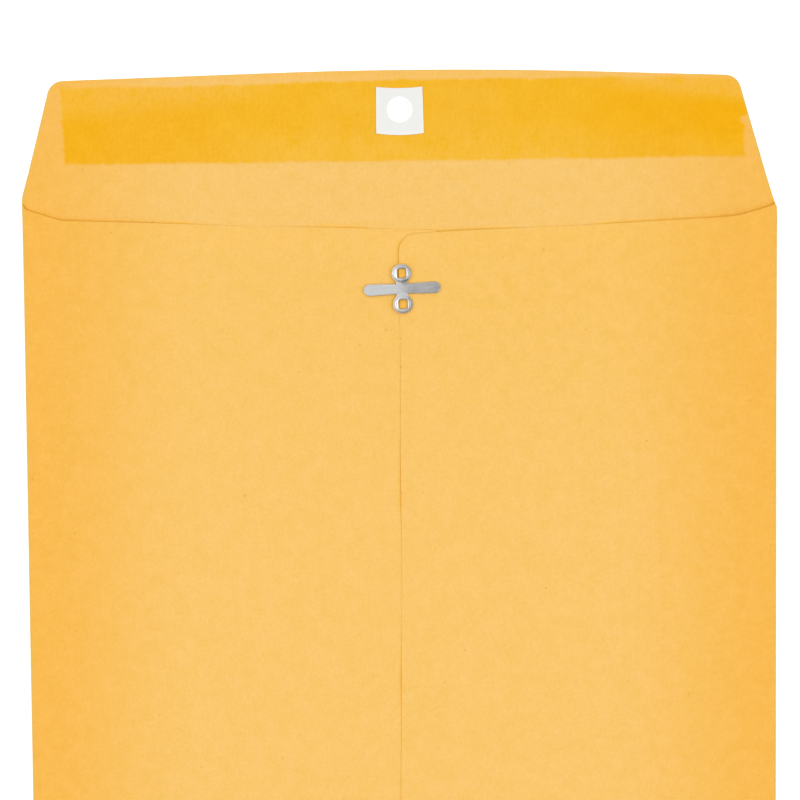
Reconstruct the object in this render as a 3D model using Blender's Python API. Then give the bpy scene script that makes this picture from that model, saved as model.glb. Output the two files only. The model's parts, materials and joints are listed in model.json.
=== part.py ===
"""Clasp envelope: a kraft paper pocket with a gummed seal flap and a clinched metal clasp.

The envelope lies on its front face with the flap open. X runs across it, Y towards the flap and
Z up out of its back. The origin is the centre of the front face. Sizes are in metres.
"""

import math

import bmesh
import bpy
import numpy as np
from mathutils import Matrix, Vector

# Paper, films and the spaces between layers
PAPER = 0.00015  # thickness of the kraft paper
FILM = 0.00005  # thickness of dried glue and gum
LAYER_GAP = 0.00005  # between layers that lie on each other
SCORE_GAP = 0.0001  # between panels of the blank that meet at a score
POCKET_GAP = 0.0008  # between the front panel and the left back panel

# Pocket
WIDTH = 0.2286  # side fold to side fold
HEIGHT = 0.3048  # bottom fold to flap score
SEAM_EDGE_X = -0.0003  # free edge of the right back panel, from the centre line
SEAM_OVERLAP = 0.0165  # how far the left back panel runs under the right one
SEAM_CORNER_RADIUS = 0.0058
SEAM_GLUE_INSET = 0.003  # glue strip in from the two edges of the overlap
SEAM_GLUE_START = 0.02  # glue strip below the throat
LEFT_THROAT_DROP = 0.00904  # throat at the centre line, below the flap score
RIGHT_THROAT_DROP = 0.01015
LEFT_KNEE_INSET = 0.0123  # bend of the throat, in from the side fold
RIGHT_KNEE_INSET = 0.0127
LEFT_KNEE_DROP = 0.0056  # bend of the throat, below the flap score
RIGHT_KNEE_DROP = 0.00598
LEFT_KNEE_RADIUS = 0.008
RIGHT_KNEE_RADIUS = 0.045
LEFT_FOOT_DROP = 0.0017  # throat at the side fold, below the flap score
RIGHT_FOOT_DROP = 0.00205
LEFT_SHOULDER_RISE = 0.0008  # how far the left side fold runs up past the throat

# Bottom flap, folded over the back panels
BOTTOM_FLAP_HEIGHT = 0.03
BOTTOM_FLAP_FOOT_INSET = 0.0015  # each side at its fold, in from the side folds
BOTTOM_FLAP_TIP_INSET = 0.009  # each side at its free edge, in from the side folds
BOTTOM_FLAP_RADIUS = 0.006
BOTTOM_GLUE_INSET = 0.004  # glue in from the bottom flap's outline

# Seal flap: its die-cut sides differ a little
FLAP_LEFT_CORNER_HEIGHT = 0.03653  # top corners above the flap score
FLAP_RIGHT_CORNER_HEIGHT = 0.03676
FLAP_PEAK_HEIGHT = 0.03991  # where the two slopes of the top edge would meet
FLAP_PEAK_X = 0.0098
FLAP_PEAK_BLEND = 0.05  # length of each slope that the arc between them takes up
FLAP_CORNER_RADIUS = 0.0047
FLAP_LEFT_FOOT_INSET = 0.0  # sides at the score, in from the side folds
FLAP_RIGHT_FOOT_INSET = 0.00105
FLAP_LEFT_TIP_INSET = 0.0093  # top corners, in from the side folds
FLAP_RIGHT_TIP_INSET = 0.012
FOLD_CLEARANCE = 0.0001  # closed flap above the top of the right side fold

# Seal gum and the reinforcing patch on the flap
GUM_START = 0.0118  # lower edge above the flap score
GUM_TOP_MARGIN = 0.0038  # upper edge below the flap's peak
GUM_LEFT_FALL = 0.0015  # how far the upper edge falls away at its ends
GUM_RIGHT_FALL = 0.0004
GUM_LEFT_MARGIN = 0.0034  # left end, in from the flap's top corner
GUM_RIGHT_MARGIN = 0.0015  # right end, in from the flap's side
GUM_RIGHT_END_INSET = 0.0097  # straight right end, in from the side fold
GUM_CORNER_RADIUS = 0.0015
PATCH_SIDE = 0.0143
PATCH_THICKNESS = 0.0001
PATCH_DROP = 0.0003  # centre of the patch, towards the score from the hole
FLAP_HOLE_DIAMETER = 0.00794

# Clasp, stamped from tinned steel strip; the flap hole fits over it
CLASP_X = 0.0006  # clasp and flap hole, right of the centre line
CLASP_DROP = 0.0271  # clasp below the flap score, and flap hole above it
CLASP_TURN = math.radians(2.6)
CLASP_SHEET = 0.00028
CLASP_GAP = 0.0001  # clasp above the paper it lies on
EAR_SPACING = 0.00945
EAR_DIAMETER = 0.00645
EAR_HOLE = 0.0026
EAR_HOLE_SQUARENESS = 6  # power of the hole's rounded square
EAR_BEAD = 0.00045  # height of the pressed rim
EAR_CREST = 0.5  # where the rim is highest, from the ear's edge to its hole
EAR_LIP = 0.00025  # how far the rim rolls down into the hole
NECK_COIN = 0.00002  # the neck is pressed this much thinner on each face
NECK_FLARE_RADIUS = 0.0006
NECK_LAP = 0.00015  # how far the neck runs in under the rim of an ear
PETAL_SHEET = 0.0002  # petals are drawn thinner than the strip
PETAL_ROOT_WIDTH = 0.0019
PETAL_TIP_WIDTH = 0.0007
PETAL_BEND = 0.0003
PETAL_REACH = 0.0006  # flat end of a petal under the paper
PIERCE_CLEARANCE = 0.0001  # paper around the petals
PRONG_SPAN = 0.0232  # tip to tip
PRONG_ROOT_X = 0.0019  # bend line of a prong, from the clasp's centre
PRONG_ROOT_WIDTH = 0.00305
PRONG_TIP_WIDTH = 0.0035
PRONG_BEND_GAP = 0.0001  # neck clear of a turning prong

# How finely round stretches are divided, and the angle from which an edge stays sharp
SHARP_EDGE = math.radians(35)
ARC_STEP = math.radians(9)
ARC_LEAST_STEPS = 6
FOLD_STEPS = 10
EAR_STEPS = 40
RIM_STEPS = 6
PETAL_STEPS = 5
HOLE_STEPS = 48

# Heights of the layers
SIDE = WIDTH / 2
SCORE_Y = HEIGHT / 2
LEFT_BOTTOM = PAPER + POCKET_GAP
LEFT_TOP = LEFT_BOTTOM + PAPER
SEAM_GLUE_BOTTOM = LEFT_TOP + LAYER_GAP
RIGHT_BOTTOM = SEAM_GLUE_BOTTOM + FILM + LAYER_GAP
RIGHT_TOP = RIGHT_BOTTOM + PAPER
BOTTOM_GLUE_TOP = RIGHT_TOP + LAYER_GAP + FILM
BOTTOM_FLAP_BOTTOM = BOTTOM_GLUE_TOP + LAYER_GAP
BOTTOM_FLAP_TOP = BOTTOM_FLAP_BOTTOM + PAPER
GUM_BOTTOM = PAPER + LAYER_GAP
PATCH_BOTTOM = GUM_BOTTOM + FILM + LAYER_GAP
FLAP_AXIS_Z = (RIGHT_TOP + FOLD_CLEARANCE + PAPER) / 2
CLASP_Z = RIGHT_TOP + CLASP_GAP + CLASP_SHEET / 2

# Folds: the outer radius of each is half the height that it spans
LEFT_FOLD_RADIUS = LEFT_TOP / 2
RIGHT_FOLD_RADIUS = RIGHT_TOP / 2
BOTTOM_FOLD_RADIUS = BOTTOM_FLAP_TOP / 2
LEFT_PANEL_X = -SIDE + LEFT_FOLD_RADIUS + SCORE_GAP
RIGHT_PANEL_X = SIDE - RIGHT_FOLD_RADIUS - SCORE_GAP
PANEL_BOTTOM_Y = -SCORE_Y + BOTTOM_FOLD_RADIUS + SCORE_GAP
PANEL_TOP_Y = SCORE_Y - SCORE_GAP / 2
HOLE_CENTRE = Vector((CLASP_X, SCORE_Y + CLASP_DROP))
CLASP_CENTRE = Vector((CLASP_X, SCORE_Y - CLASP_DROP, CLASP_Z))
EAR_WALL = (EAR_HOLE + CLASP_SHEET) / 2  # middle of the wall round an ear's hole
PETAL_Z = LEFT_BOTTOM - LAYER_GAP - PETAL_SHEET / 2 - CLASP_Z  # clinched petals, from the clasp
PIERCE_SIDE = 2 * EAR_WALL + PETAL_SHEET + 2 * PIERCE_CLEARANCE

KRAFT = ((0.93, 0.56, 0.16), 0.85, 0.0)
GUM = ((0.90, 0.46, 0.03), 0.45, 0.0)
GLUE = ((0.86, 0.74, 0.50), 0.5, 0.0)
PATCH_WHITE = ((0.88, 0.86, 0.82), 0.8, 0.0)
TINNED_STEEL = ((0.62, 0.63, 0.65), 0.3, 1.0)


def clear_scene():
    for obj in list(bpy.data.objects):
        bpy.data.objects.remove(obj)


def material(name, finish):
    """A Principled material from a finish: its colour, roughness and metallic value."""
    colour, roughness, metallic = finish
    made = bpy.data.materials.new(name)
    made.use_nodes = True
    shader = made.node_tree.nodes["Principled BSDF"]
    shader.inputs["Base Color"].default_value = (*colour, 1.0)
    shader.inputs["Roughness"].default_value = roughness
    shader.inputs["Metallic"].default_value = metallic
    return made


def empty(name, location, parent=None):
    axis = bpy.data.objects.new(name, None)
    axis.empty_display_size = 0.005
    axis.location = location
    axis.parent = parent
    bpy.context.scene.collection.objects.link(axis)
    bpy.context.view_layer.update()
    return axis


def face_out(bm):
    """Turns the faces of one closed body outwards."""
    bmesh.ops.recalc_face_normals(bm, faces=bm.faces)
    if bm.calc_volume(signed=True) < 0:
        bmesh.ops.reverse_faces(bm, faces=bm.faces)
    return bm


def solid(name, bm, finish, parent=None, flat=False):
    """Turns a bmesh into a named object with its own material, shaded smooth unless it is a flat plate."""
    mesh = bpy.data.meshes.new(name)
    bm.to_mesh(mesh)
    bm.free()
    if not flat:
        mesh.shade_smooth()
        mesh.set_sharp_from_angle(angle=SHARP_EDGE)
    mesh.materials.append(material(name, finish))
    made = bpy.data.objects.new(name, mesh)
    made.parent = parent
    bpy.context.scene.collection.objects.link(made)
    return made


def hang(piece, axis):
    """Parents a piece that is modelled in place to the empty on its joint's axis."""
    piece.parent = axis
    piece.matrix_parent_inverse = axis.matrix_world.inverted()


def tool(name, bm, parent=None):
    """A hidden shape that a Boolean cuts with or adds."""
    made = solid(name, bm, TINNED_STEEL, parent)
    made.hide_render = True
    made.display_type = "WIRE"
    return made


def combine(piece, other, operation):
    step = piece.modifiers.new(other.name, "BOOLEAN")
    step.operation = operation
    step.solver = "EXACT"
    step.object = other


def rounded(corners):
    """The outline through corners (x, y, radius), with an arc in place of each corner of some radius."""
    outline = []
    for i, (x, y, radius) in enumerate(corners):
        corner = Vector((x, y))
        if not radius:
            outline.append(corner)
            continue
        before = (Vector(corners[i - 1][:2]) - corner).normalized()
        after = (Vector(corners[(i + 1) % len(corners)][:2]) - corner).normalized()
        half = before.angle(after) / 2
        centre = corner + (before + after).normalized() * radius / math.sin(half)
        start = corner + before * radius / math.tan(half) - centre
        sweep = math.copysign(math.pi - 2 * half, after.cross(before))
        steps = max(ARC_LEAST_STEPS, math.ceil(abs(sweep) / ARC_STEP))
        for k in range(steps + 1):
            outline.append(centre + Matrix.Rotation(sweep * k / steps, 2) @ start)
    return outline


def prism(outline, bottom, top):
    """A closed prism: the outline filled at one height and drawn up to the other."""
    bm = bmesh.new()
    face = bm.faces.new([bm.verts.new((x, y, bottom)) for x, y in outline])
    drawn = bmesh.ops.extrude_face_region(bm, geom=[face])["geom"]
    raised = [part for part in drawn if isinstance(part, bmesh.types.BMVert)]
    bmesh.ops.translate(bm, verts=raised, vec=(0, 0, top - bottom))
    return face_out(bm)


def square(centre, side):
    half = side / 2
    x, y = centre
    return [(x - half, y - half), (x + half, y - half), (x + half, y + half), (x - half, y + half)]


def fold(name, radius, outward, start, end):
    """Half a thin tube that turns the paper back over itself, from start to end of the fold's axis."""
    outward = Vector(outward)
    along = outward.cross(Vector((0, 0, 1)))
    start, end = Vector(start), Vector(end)
    if (end - start).dot(along) < 0:
        start, end = end, start
    turns = [math.pi * (k / FOLD_STEPS - 0.5) for k in range(FOLD_STEPS + 1)]
    outer = [(radius * math.cos(t), radius * math.sin(t)) for t in turns]
    inner = radius - PAPER
    outline = outer + [(inner * math.cos(t), inner * math.sin(t)) for t in reversed(turns)]
    bm = prism(outline, 0, (end - start).length)
    axes = Matrix((outward, (0, 0, 1), along)).transposed().to_4x4()
    bm.transform(Matrix.Translation(start) @ axes)
    return solid(name, bm, KRAFT)


def between(a, b, x):
    """Height at x of the line through points a and b."""
    return a[1] + (b[1] - a[1]) * (x - a[0]) / (b[0] - a[0])


def front_panel():
    outline = [
        (LEFT_PANEL_X, PANEL_BOTTOM_Y),
        (RIGHT_PANEL_X, PANEL_BOTTOM_Y),
        (RIGHT_PANEL_X, PANEL_TOP_Y),
        (LEFT_PANEL_X, PANEL_TOP_Y),
    ]
    solid("front_panel", prism(outline, 0, PAPER), KRAFT)


def pocket_folds():
    """The two side folds, from the panels' foot to the throat, and the bottom fold."""
    left_x, right_x = -SIDE + LEFT_FOLD_RADIUS, SIDE - RIGHT_FOLD_RADIUS
    left_top = SCORE_Y - LEFT_FOOT_DROP + LEFT_SHOULDER_RISE
    right_top = SCORE_Y - RIGHT_FOOT_DROP
    fold(
        "left_side_fold",
        LEFT_FOLD_RADIUS,
        (-1, 0, 0),
        (left_x, PANEL_BOTTOM_Y, LEFT_FOLD_RADIUS),
        (left_x, left_top, LEFT_FOLD_RADIUS),
    )
    fold(
        "right_side_fold",
        RIGHT_FOLD_RADIUS,
        (1, 0, 0),
        (right_x, PANEL_BOTTOM_Y, RIGHT_FOLD_RADIUS),
        (right_x, right_top, RIGHT_FOLD_RADIUS),
    )
    foot = SIDE - BOTTOM_FLAP_FOOT_INSET
    bottom_y = -SCORE_Y + BOTTOM_FOLD_RADIUS
    fold(
        "bottom_fold",
        BOTTOM_FOLD_RADIUS,
        (0, -1, 0),
        (-foot, bottom_y, BOTTOM_FOLD_RADIUS),
        (foot, bottom_y, BOTTOM_FOLD_RADIUS),
    )


def left_back_panel():
    """Runs under the right back panel as far as the overlap, with the throat cut along its top."""
    foot = (-SIDE, SCORE_Y - LEFT_FOOT_DROP)
    knee = (-SIDE + LEFT_KNEE_INSET, SCORE_Y - LEFT_KNEE_DROP)
    middle = (0, SCORE_Y - LEFT_THROAT_DROP)
    hidden_x = SEAM_EDGE_X + SEAM_OVERLAP
    corners = [
        (LEFT_PANEL_X, PANEL_BOTTOM_Y, 0),
        (hidden_x, PANEL_BOTTOM_Y, 0),
        (hidden_x, between(knee, middle, hidden_x), 0),
        (*knee, LEFT_KNEE_RADIUS),
        (LEFT_PANEL_X, between(foot, knee, LEFT_PANEL_X), 0),
    ]
    return solid("left_back_panel", prism(rounded(corners), LEFT_BOTTOM, LEFT_TOP), KRAFT, flat=True)


def right_back_panel():
    """Lies over the left back panel at the seam, with a rounded corner at the top of its free edge."""
    foot = (SIDE, SCORE_Y - RIGHT_FOOT_DROP)
    knee = (SIDE - RIGHT_KNEE_INSET, SCORE_Y - RIGHT_KNEE_DROP)
    middle = (0, SCORE_Y - RIGHT_THROAT_DROP)
    corners = [
        (SEAM_EDGE_X, PANEL_BOTTOM_Y, 0),
        (RIGHT_PANEL_X, PANEL_BOTTOM_Y, 0),
        (RIGHT_PANEL_X, between(foot, knee, RIGHT_PANEL_X), 0),
        (*knee, RIGHT_KNEE_RADIUS),
        (SEAM_EDGE_X, between(knee, middle, SEAM_EDGE_X), SEAM_CORNER_RADIUS),
    ]
    return solid("right_back_panel", prism(rounded(corners), RIGHT_BOTTOM, RIGHT_TOP), KRAFT, flat=True)


def seam_glue():
    left = SEAM_EDGE_X + SEAM_GLUE_INSET
    right = SEAM_EDGE_X + SEAM_OVERLAP - SEAM_GLUE_INSET
    bottom = PANEL_BOTTOM_Y + SEAM_GLUE_INSET
    top = SCORE_Y - RIGHT_THROAT_DROP - SEAM_GLUE_START
    outline = [(left, bottom), (right, bottom), (right, top), (left, top)]
    bm = prism(outline, SEAM_GLUE_BOTTOM, SEAM_GLUE_BOTTOM + FILM)
    return solid("seam_glue", bm, GLUE, flat=True)


def bottom_flap():
    foot = SIDE - BOTTOM_FLAP_FOOT_INSET
    tip = SIDE - BOTTOM_FLAP_TIP_INSET
    top = -SCORE_Y + BOTTOM_FLAP_HEIGHT
    corners = [
        (-foot, PANEL_BOTTOM_Y, 0),
        (foot, PANEL_BOTTOM_Y, 0),
        (tip, top, BOTTOM_FLAP_RADIUS),
        (-tip, top, BOTTOM_FLAP_RADIUS),
    ]
    solid("bottom_flap", prism(rounded(corners), BOTTOM_FLAP_BOTTOM, BOTTOM_FLAP_TOP), KRAFT)


def bottom_flap_glue():
    """Glue under the bottom flap, deeper on the left, where it fills the step beside the seam."""
    half = SIDE - BOTTOM_FLAP_TIP_INSET - BOTTOM_GLUE_INSET
    step_x = SEAM_EDGE_X - LAYER_GAP
    profile = [
        (-half, LEFT_TOP + LAYER_GAP),
        (step_x, LEFT_TOP + LAYER_GAP),
        (step_x, RIGHT_TOP + LAYER_GAP),
        (half, RIGHT_TOP + LAYER_GAP),
        (half, BOTTOM_GLUE_TOP),
        (-half, BOTTOM_GLUE_TOP),
    ]
    low = PANEL_BOTTOM_Y + BOTTOM_GLUE_INSET
    high = -SCORE_Y + BOTTOM_FLAP_HEIGHT - BOTTOM_GLUE_INSET
    bm = prism(profile, -high, -low)
    bm.transform(Matrix.Rotation(math.pi / 2, 4, "X"))
    solid("bottom_flap_glue", bm, GLUE)


def flap_corners():
    """Left foot, right foot, right tip and left tip of the seal flap."""
    foot_y = SCORE_Y + SCORE_GAP / 2
    return (
        (-SIDE + FLAP_LEFT_FOOT_INSET, foot_y),
        (SIDE - FLAP_RIGHT_FOOT_INSET, foot_y),
        (SIDE - FLAP_RIGHT_TIP_INSET, SCORE_Y + FLAP_RIGHT_CORNER_HEIGHT),
        (-SIDE + FLAP_LEFT_TIP_INSET, SCORE_Y + FLAP_LEFT_CORNER_HEIGHT),
    )


def hole_cutter():
    bm = bmesh.new()
    bmesh.ops.create_cone(
        bm,
        cap_ends=True,
        segments=HOLE_STEPS,
        radius1=FLAP_HOLE_DIAMETER / 2,
        radius2=FLAP_HOLE_DIAMETER / 2,
        depth=4 * (PATCH_BOTTOM + PATCH_THICKNESS),
        matrix=Matrix.Translation((*HOLE_CENTRE, 0)),
    )
    return tool("flap_hole_cutter", bm)


def seal_flap():
    """A trapezium with rounded top corners and a top edge of two slopes that meet in a long arc."""
    left_foot, right_foot, right_tip, left_tip = flap_corners()
    peak = Vector((FLAP_PEAK_X, SCORE_Y + FLAP_PEAK_HEIGHT))
    between_slopes = (Vector(left_tip) - peak).angle(Vector(right_tip) - peak)
    corners = [
        (*left_foot, 0),
        (*right_foot, 0),
        (*right_tip, FLAP_CORNER_RADIUS),
        (*peak, FLAP_PEAK_BLEND * math.tan(between_slopes / 2)),
        (*left_tip, FLAP_CORNER_RADIUS),
    ]
    return solid("seal_flap", prism(rounded(corners), 0, PAPER), KRAFT, flat=True)


def seal_gum():
    """The gum stops straight on the left, and on the right ends straight, then follows the flap's side."""
    _, right_foot, right_tip, left_tip = flap_corners()
    start_y = SCORE_Y + GUM_START
    peak_y = SCORE_Y + FLAP_PEAK_HEIGHT - GUM_TOP_MARGIN
    right_top = peak_y - GUM_RIGHT_FALL
    left_x = left_tip[0] + GUM_LEFT_MARGIN
    right_x = SIDE - GUM_RIGHT_END_INSET
    lean = (right_foot[0] - right_tip[0]) / (right_tip[1] - right_foot[1])
    knee_y = right_foot[1] + (right_foot[0] - GUM_RIGHT_MARGIN - right_x) / lean
    corners = [
        (left_x, start_y, GUM_CORNER_RADIUS),
        (right_x, start_y, GUM_CORNER_RADIUS),
        (right_x, knee_y, 0),
        (right_x - lean * (right_top - knee_y), right_top, GUM_CORNER_RADIUS),
        (FLAP_PEAK_X, peak_y, 0),
        (left_x, peak_y - GUM_LEFT_FALL, GUM_CORNER_RADIUS),
    ]
    return solid("seal_gum", prism(rounded(corners), GUM_BOTTOM, GUM_BOTTOM + FILM), GUM, flat=True)


def flap_patch():
    outline = square((HOLE_CENTRE.x, HOLE_CENTRE.y - PATCH_DROP), PATCH_SIDE)
    bm = prism(outline, PATCH_BOTTOM, PATCH_BOTTOM + PATCH_THICKNESS)
    return solid("flap_patch", bm, PATCH_WHITE, flat=True)


def flap():
    """The seal flap with its gum and patch, all pierced by the hole and turning about the score."""
    axis = empty("flap_hinge_axis", (0, SCORE_Y, FLAP_AXIS_Z))
    cutter = hole_cutter()
    for piece in (seal_flap(), seal_gum(), flap_patch()):
        combine(piece, cutter, "DIFFERENCE")
        hang(piece, axis)
    hang(cutter, axis)


def loop_mesh(rings, closed):
    """A mesh of quads over rings of points, its last ring joined to the first or both ends capped."""
    count, size, _ = rings.shape
    bm = bmesh.new()
    verts = [bm.verts.new(point) for point in rings.reshape(-1, 3)]
    for i in range(count if closed else count - 1):
        here, there = i * size, (i + 1) % count * size
        for k in range(size):
            after = (k + 1) % size
            bm.faces.new([verts[n] for n in (here + k, here + after, there + after, there + k)])
    if not closed:
        bm.faces.new(verts[:size])
        bm.faces.new(verts[-size:])
    return face_out(bm)


def ear_rim(centre_y):
    """A bead that rises from the ear's round edge to a crest, then rolls down into its square hole.

    The bead's middle line goes in from edge to hole as its height follows half a cosine up to the
    crest and a quarter ellipse down. The strip's thickness is set off along the line's normal.
    """
    rise = np.linspace(0, 1, RIM_STEPS)
    fall = np.linspace(0, math.pi / 2, RIM_STEPS)[1:]
    inward = np.concatenate((EAR_CREST * rise, EAR_CREST + (1 - EAR_CREST) * np.sin(fall)))
    bead = EAR_BEAD * (1 - np.cos(math.pi * rise)) / 2
    height = np.concatenate((bead, EAR_BEAD - (EAR_BEAD + EAR_LIP) * (1 - np.cos(fall))))
    turn = np.linspace(0, 2 * math.pi, EAR_STEPS, endpoint=False)
    power = EAR_HOLE_SQUARENESS
    wall = EAR_WALL / (np.abs(np.cos(turn)) ** power + np.abs(np.sin(turn)) ** power) ** (1 / power)
    reach = EAR_DIAMETER / 2 + np.outer(wall - EAR_DIAMETER / 2, inward)
    height = np.broadcast_to(height, reach.shape)
    slope_out, slope_up = np.gradient(reach, axis=1), np.gradient(height, axis=1)
    length = np.hypot(slope_out, slope_up)
    half = CLASP_SHEET / 2
    out, up = half * slope_up / length, -half * slope_out / length
    reach = np.concatenate((reach + out, (reach - out)[:, ::-1]), axis=1)
    height = np.concatenate((height + up, (height - up)[:, ::-1]), axis=1)
    x = reach * np.cos(turn)[:, None]
    y = reach * np.sin(turn)[:, None] + centre_y
    return loop_mesh(np.stack((x, y, height), axis=-1), closed=True)


def petal():
    """Rings of one petal: down through the paper, rolled outwards under it, narrowing to its tip."""
    roll = np.linspace(0, math.pi / 2, PETAL_STEPS)
    reach = np.concatenate(([0], PETAL_BEND * (1 - np.cos(roll)), [PETAL_BEND + PETAL_REACH]))
    height = np.concatenate(([0], PETAL_Z + PETAL_BEND * (1 - np.sin(roll)), [PETAL_Z]))
    tilt = np.concatenate(([0], roll, [math.pi / 2]))
    width = np.linspace(PETAL_ROOT_WIDTH, PETAL_TIP_WIDTH, len(reach)) / 2
    half = PETAL_SHEET / 2
    corners = [
        (reach + side * half * np.cos(tilt) + EAR_WALL, across * width, height + side * half * np.sin(tilt))
        for side, across in ((1, 1), (1, -1), (-1, -1), (-1, 1))
    ]
    return np.moveaxis(np.array(corners), (0, 1, 2), (1, 2, 0))


def petals():
    """Four petals round the hole of each ear, as one hidden shape."""
    joined = bmesh.new()
    for centre_y in (-EAR_SPACING / 2, EAR_SPACING / 2):
        for quarter in range(4):
            single = loop_mesh(petal(), closed=False)
            place = Matrix.Translation((0, centre_y, 0)) @ Matrix.Rotation(quarter * math.pi / 2, 4, "Z")
            single.transform(place)
            passed = bpy.data.meshes.new("petal")
            single.to_mesh(passed)
            single.free()
            joined.from_mesh(passed)
            bpy.data.meshes.remove(passed)
    return joined


def clasp_base(frame):
    """The neck between the prongs, joined to two ears whose petals clinch the paper."""
    half = PRONG_ROOT_X - CLASP_SHEET / 2 - PRONG_BEND_GAP
    end_y = EAR_SPACING / 2 - EAR_HOLE / 2 - CLASP_SHEET
    end_x = math.sqrt((EAR_DIAMETER / 2 - NECK_LAP) ** 2 - (EAR_SPACING / 2 - end_y) ** 2)
    flare_y = PRONG_ROOT_WIDTH / 2 + PRONG_BEND_GAP
    quarter = [(half, flare_y, NECK_FLARE_RADIUS), (end_x, end_y, 0)]
    right = [(x, -y, r) for x, y, r in reversed(quarter)] + quarter
    left = [(-x, -y, r) for x, y, r in right]
    thin = CLASP_SHEET / 2 - NECK_COIN
    neck = prism(rounded(right + left), -thin, thin)
    base = solid("clasp_base", neck, TINNED_STEEL, frame, flat=True)
    for name, centre_y in (("lower_ear", -EAR_SPACING / 2), ("upper_ear", EAR_SPACING / 2)):
        combine(base, tool(name, ear_rim(centre_y), frame), "UNION")
    combine(base, tool("petals", petals(), frame), "UNION")


def prong(name, side, frame):
    """A flat tongue with a round tip that bends up about its root."""
    axis = empty(name + "_axis", (side * PRONG_ROOT_X, 0, 0), frame)
    root, tip = PRONG_ROOT_WIDTH / 2, PRONG_TIP_WIDTH / 2
    centre_x = PRONG_SPAN / 2 - PRONG_ROOT_X - tip
    steps = math.ceil(math.pi / ARC_STEP)
    turns = [math.pi * (k / steps - 0.5) for k in range(steps + 1)]
    outline = [(centre_x + tip * math.cos(t), tip * math.sin(t)) for t in turns] + [(0, root), (0, -root)]
    outline = [(side * x, y) for x, y in outline]
    solid(name, prism(outline, -CLASP_SHEET / 2, CLASP_SHEET / 2), TINNED_STEEL, axis)


def clasp():
    """The clasp in its own frame, a little askew on the envelope as it was set."""
    frame = empty("clasp_frame", CLASP_CENTRE)
    frame.rotation_euler.z = CLASP_TURN
    clasp_base(frame)
    prong("clasp_left_prong", -1, frame)
    prong("clasp_right_prong", 1, frame)


def pierced_back():
    """The two back panels and the glue between them, pierced where the clasp's petals pass."""
    layers = (left_back_panel(), right_back_panel(), seam_glue())
    turn = Matrix.Rotation(CLASP_TURN, 4, "Z")
    for name, centre_y in (("lower_pierce", -EAR_SPACING / 2), ("upper_pierce", EAR_SPACING / 2)):
        bm = prism(square((0, centre_y), PIERCE_SIDE), -CLASP_Z, CLASP_Z)
        bm.transform(Matrix.Translation(CLASP_CENTRE) @ turn)
        cutter = tool(name, bm)
        for layer in layers:
            combine(layer, cutter, "DIFFERENCE")


def main():
    clear_scene()
    front_panel()
    pocket_folds()
    pierced_back()
    bottom_flap()
    bottom_flap_glue()
    flap()
    clasp()


main()
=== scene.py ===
"""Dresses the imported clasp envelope: its kraft sheet, seal gum, hole patch and clasp on a white floor.

Every new piece is a surface worked out on a grid, in metres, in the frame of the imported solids:
X runs across the envelope, Y towards the seal flap and Z up out of its back.
"""

import json
import math

import bmesh
import bpy
import numpy as np
from bpy.props import FloatProperty, FloatVectorProperty, PointerProperty
from mathutils import Matrix, Vector


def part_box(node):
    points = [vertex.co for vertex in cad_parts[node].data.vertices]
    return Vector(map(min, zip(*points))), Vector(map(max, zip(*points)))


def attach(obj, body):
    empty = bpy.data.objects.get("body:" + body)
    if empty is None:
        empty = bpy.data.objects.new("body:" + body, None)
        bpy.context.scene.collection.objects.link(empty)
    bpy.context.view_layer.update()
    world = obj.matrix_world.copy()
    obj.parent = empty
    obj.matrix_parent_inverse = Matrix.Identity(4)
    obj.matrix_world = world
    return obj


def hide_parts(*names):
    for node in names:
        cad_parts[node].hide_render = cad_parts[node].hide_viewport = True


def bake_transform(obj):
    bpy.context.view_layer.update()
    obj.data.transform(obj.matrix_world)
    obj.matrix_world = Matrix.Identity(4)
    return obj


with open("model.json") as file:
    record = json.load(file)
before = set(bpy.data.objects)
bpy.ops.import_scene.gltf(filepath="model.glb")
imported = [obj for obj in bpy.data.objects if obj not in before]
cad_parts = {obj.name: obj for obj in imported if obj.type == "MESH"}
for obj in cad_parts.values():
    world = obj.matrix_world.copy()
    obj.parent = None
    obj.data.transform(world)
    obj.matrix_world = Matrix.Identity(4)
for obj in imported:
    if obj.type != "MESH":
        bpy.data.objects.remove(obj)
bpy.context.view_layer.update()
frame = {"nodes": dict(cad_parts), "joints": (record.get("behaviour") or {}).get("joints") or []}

bl_info = {
    "name": "Clasp envelope",
    "version": (1, 0, 0),
    "blender": (4, 5, 0),
    "location": "3D View > Sidebar > Clasp envelope",
    "description": "Builds the visible sheet, gum, patch and clasp of a clasp envelope",
    "category": "Object",
}

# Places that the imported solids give
JOINTS = {joint["name"]: joint for joint in frame["joints"]}
SCORE_Y = JOINTS["flap_hinge"]["pos_m"][1]
SIDE = -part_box("left_side_fold")[0].x
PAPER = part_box("front_panel")[1].z
LEFT_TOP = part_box("left_back_panel")[1].z
RIGHT_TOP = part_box("right_back_panel")[1].z
BOTTOM_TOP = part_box("bottom_flap")[1].z
LEFT_RADIUS, RIGHT_RADIUS, BOTTOM_RADIUS = LEFT_TOP / 2, RIGHT_TOP / 2, BOTTOM_TOP / 2
PANEL_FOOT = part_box("left_back_panel")[0].y
LEFT_HIDDEN_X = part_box("left_back_panel")[1].x
LEFT_CUT, LEFT_CUT_DEPTH = 0.005, 0.02  # corner cut off the left panel under the seam's top, across and down
LEFT_ROOT, RIGHT_ROOT = (Vector(JOINTS[n]["pos_m"]) for n in ("left_prong_bend", "right_prong_bend"))
CLASP_CENTRE = (LEFT_ROOT + RIGHT_ROOT) / 2
CLASP_AXIS = (RIGHT_ROOT - LEFT_ROOT).normalized()
CLASP_ANGLE = math.atan2(CLASP_AXIS.y, CLASP_AXIS.x)
CLASP_TURN, CLASP_SHIFT = math.radians(0.38), (-0.00013, 0.00011, 0.0)  # the clasp against its solid
PRONG_ROOT = (RIGHT_ROOT - LEFT_ROOT).length / 2
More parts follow.
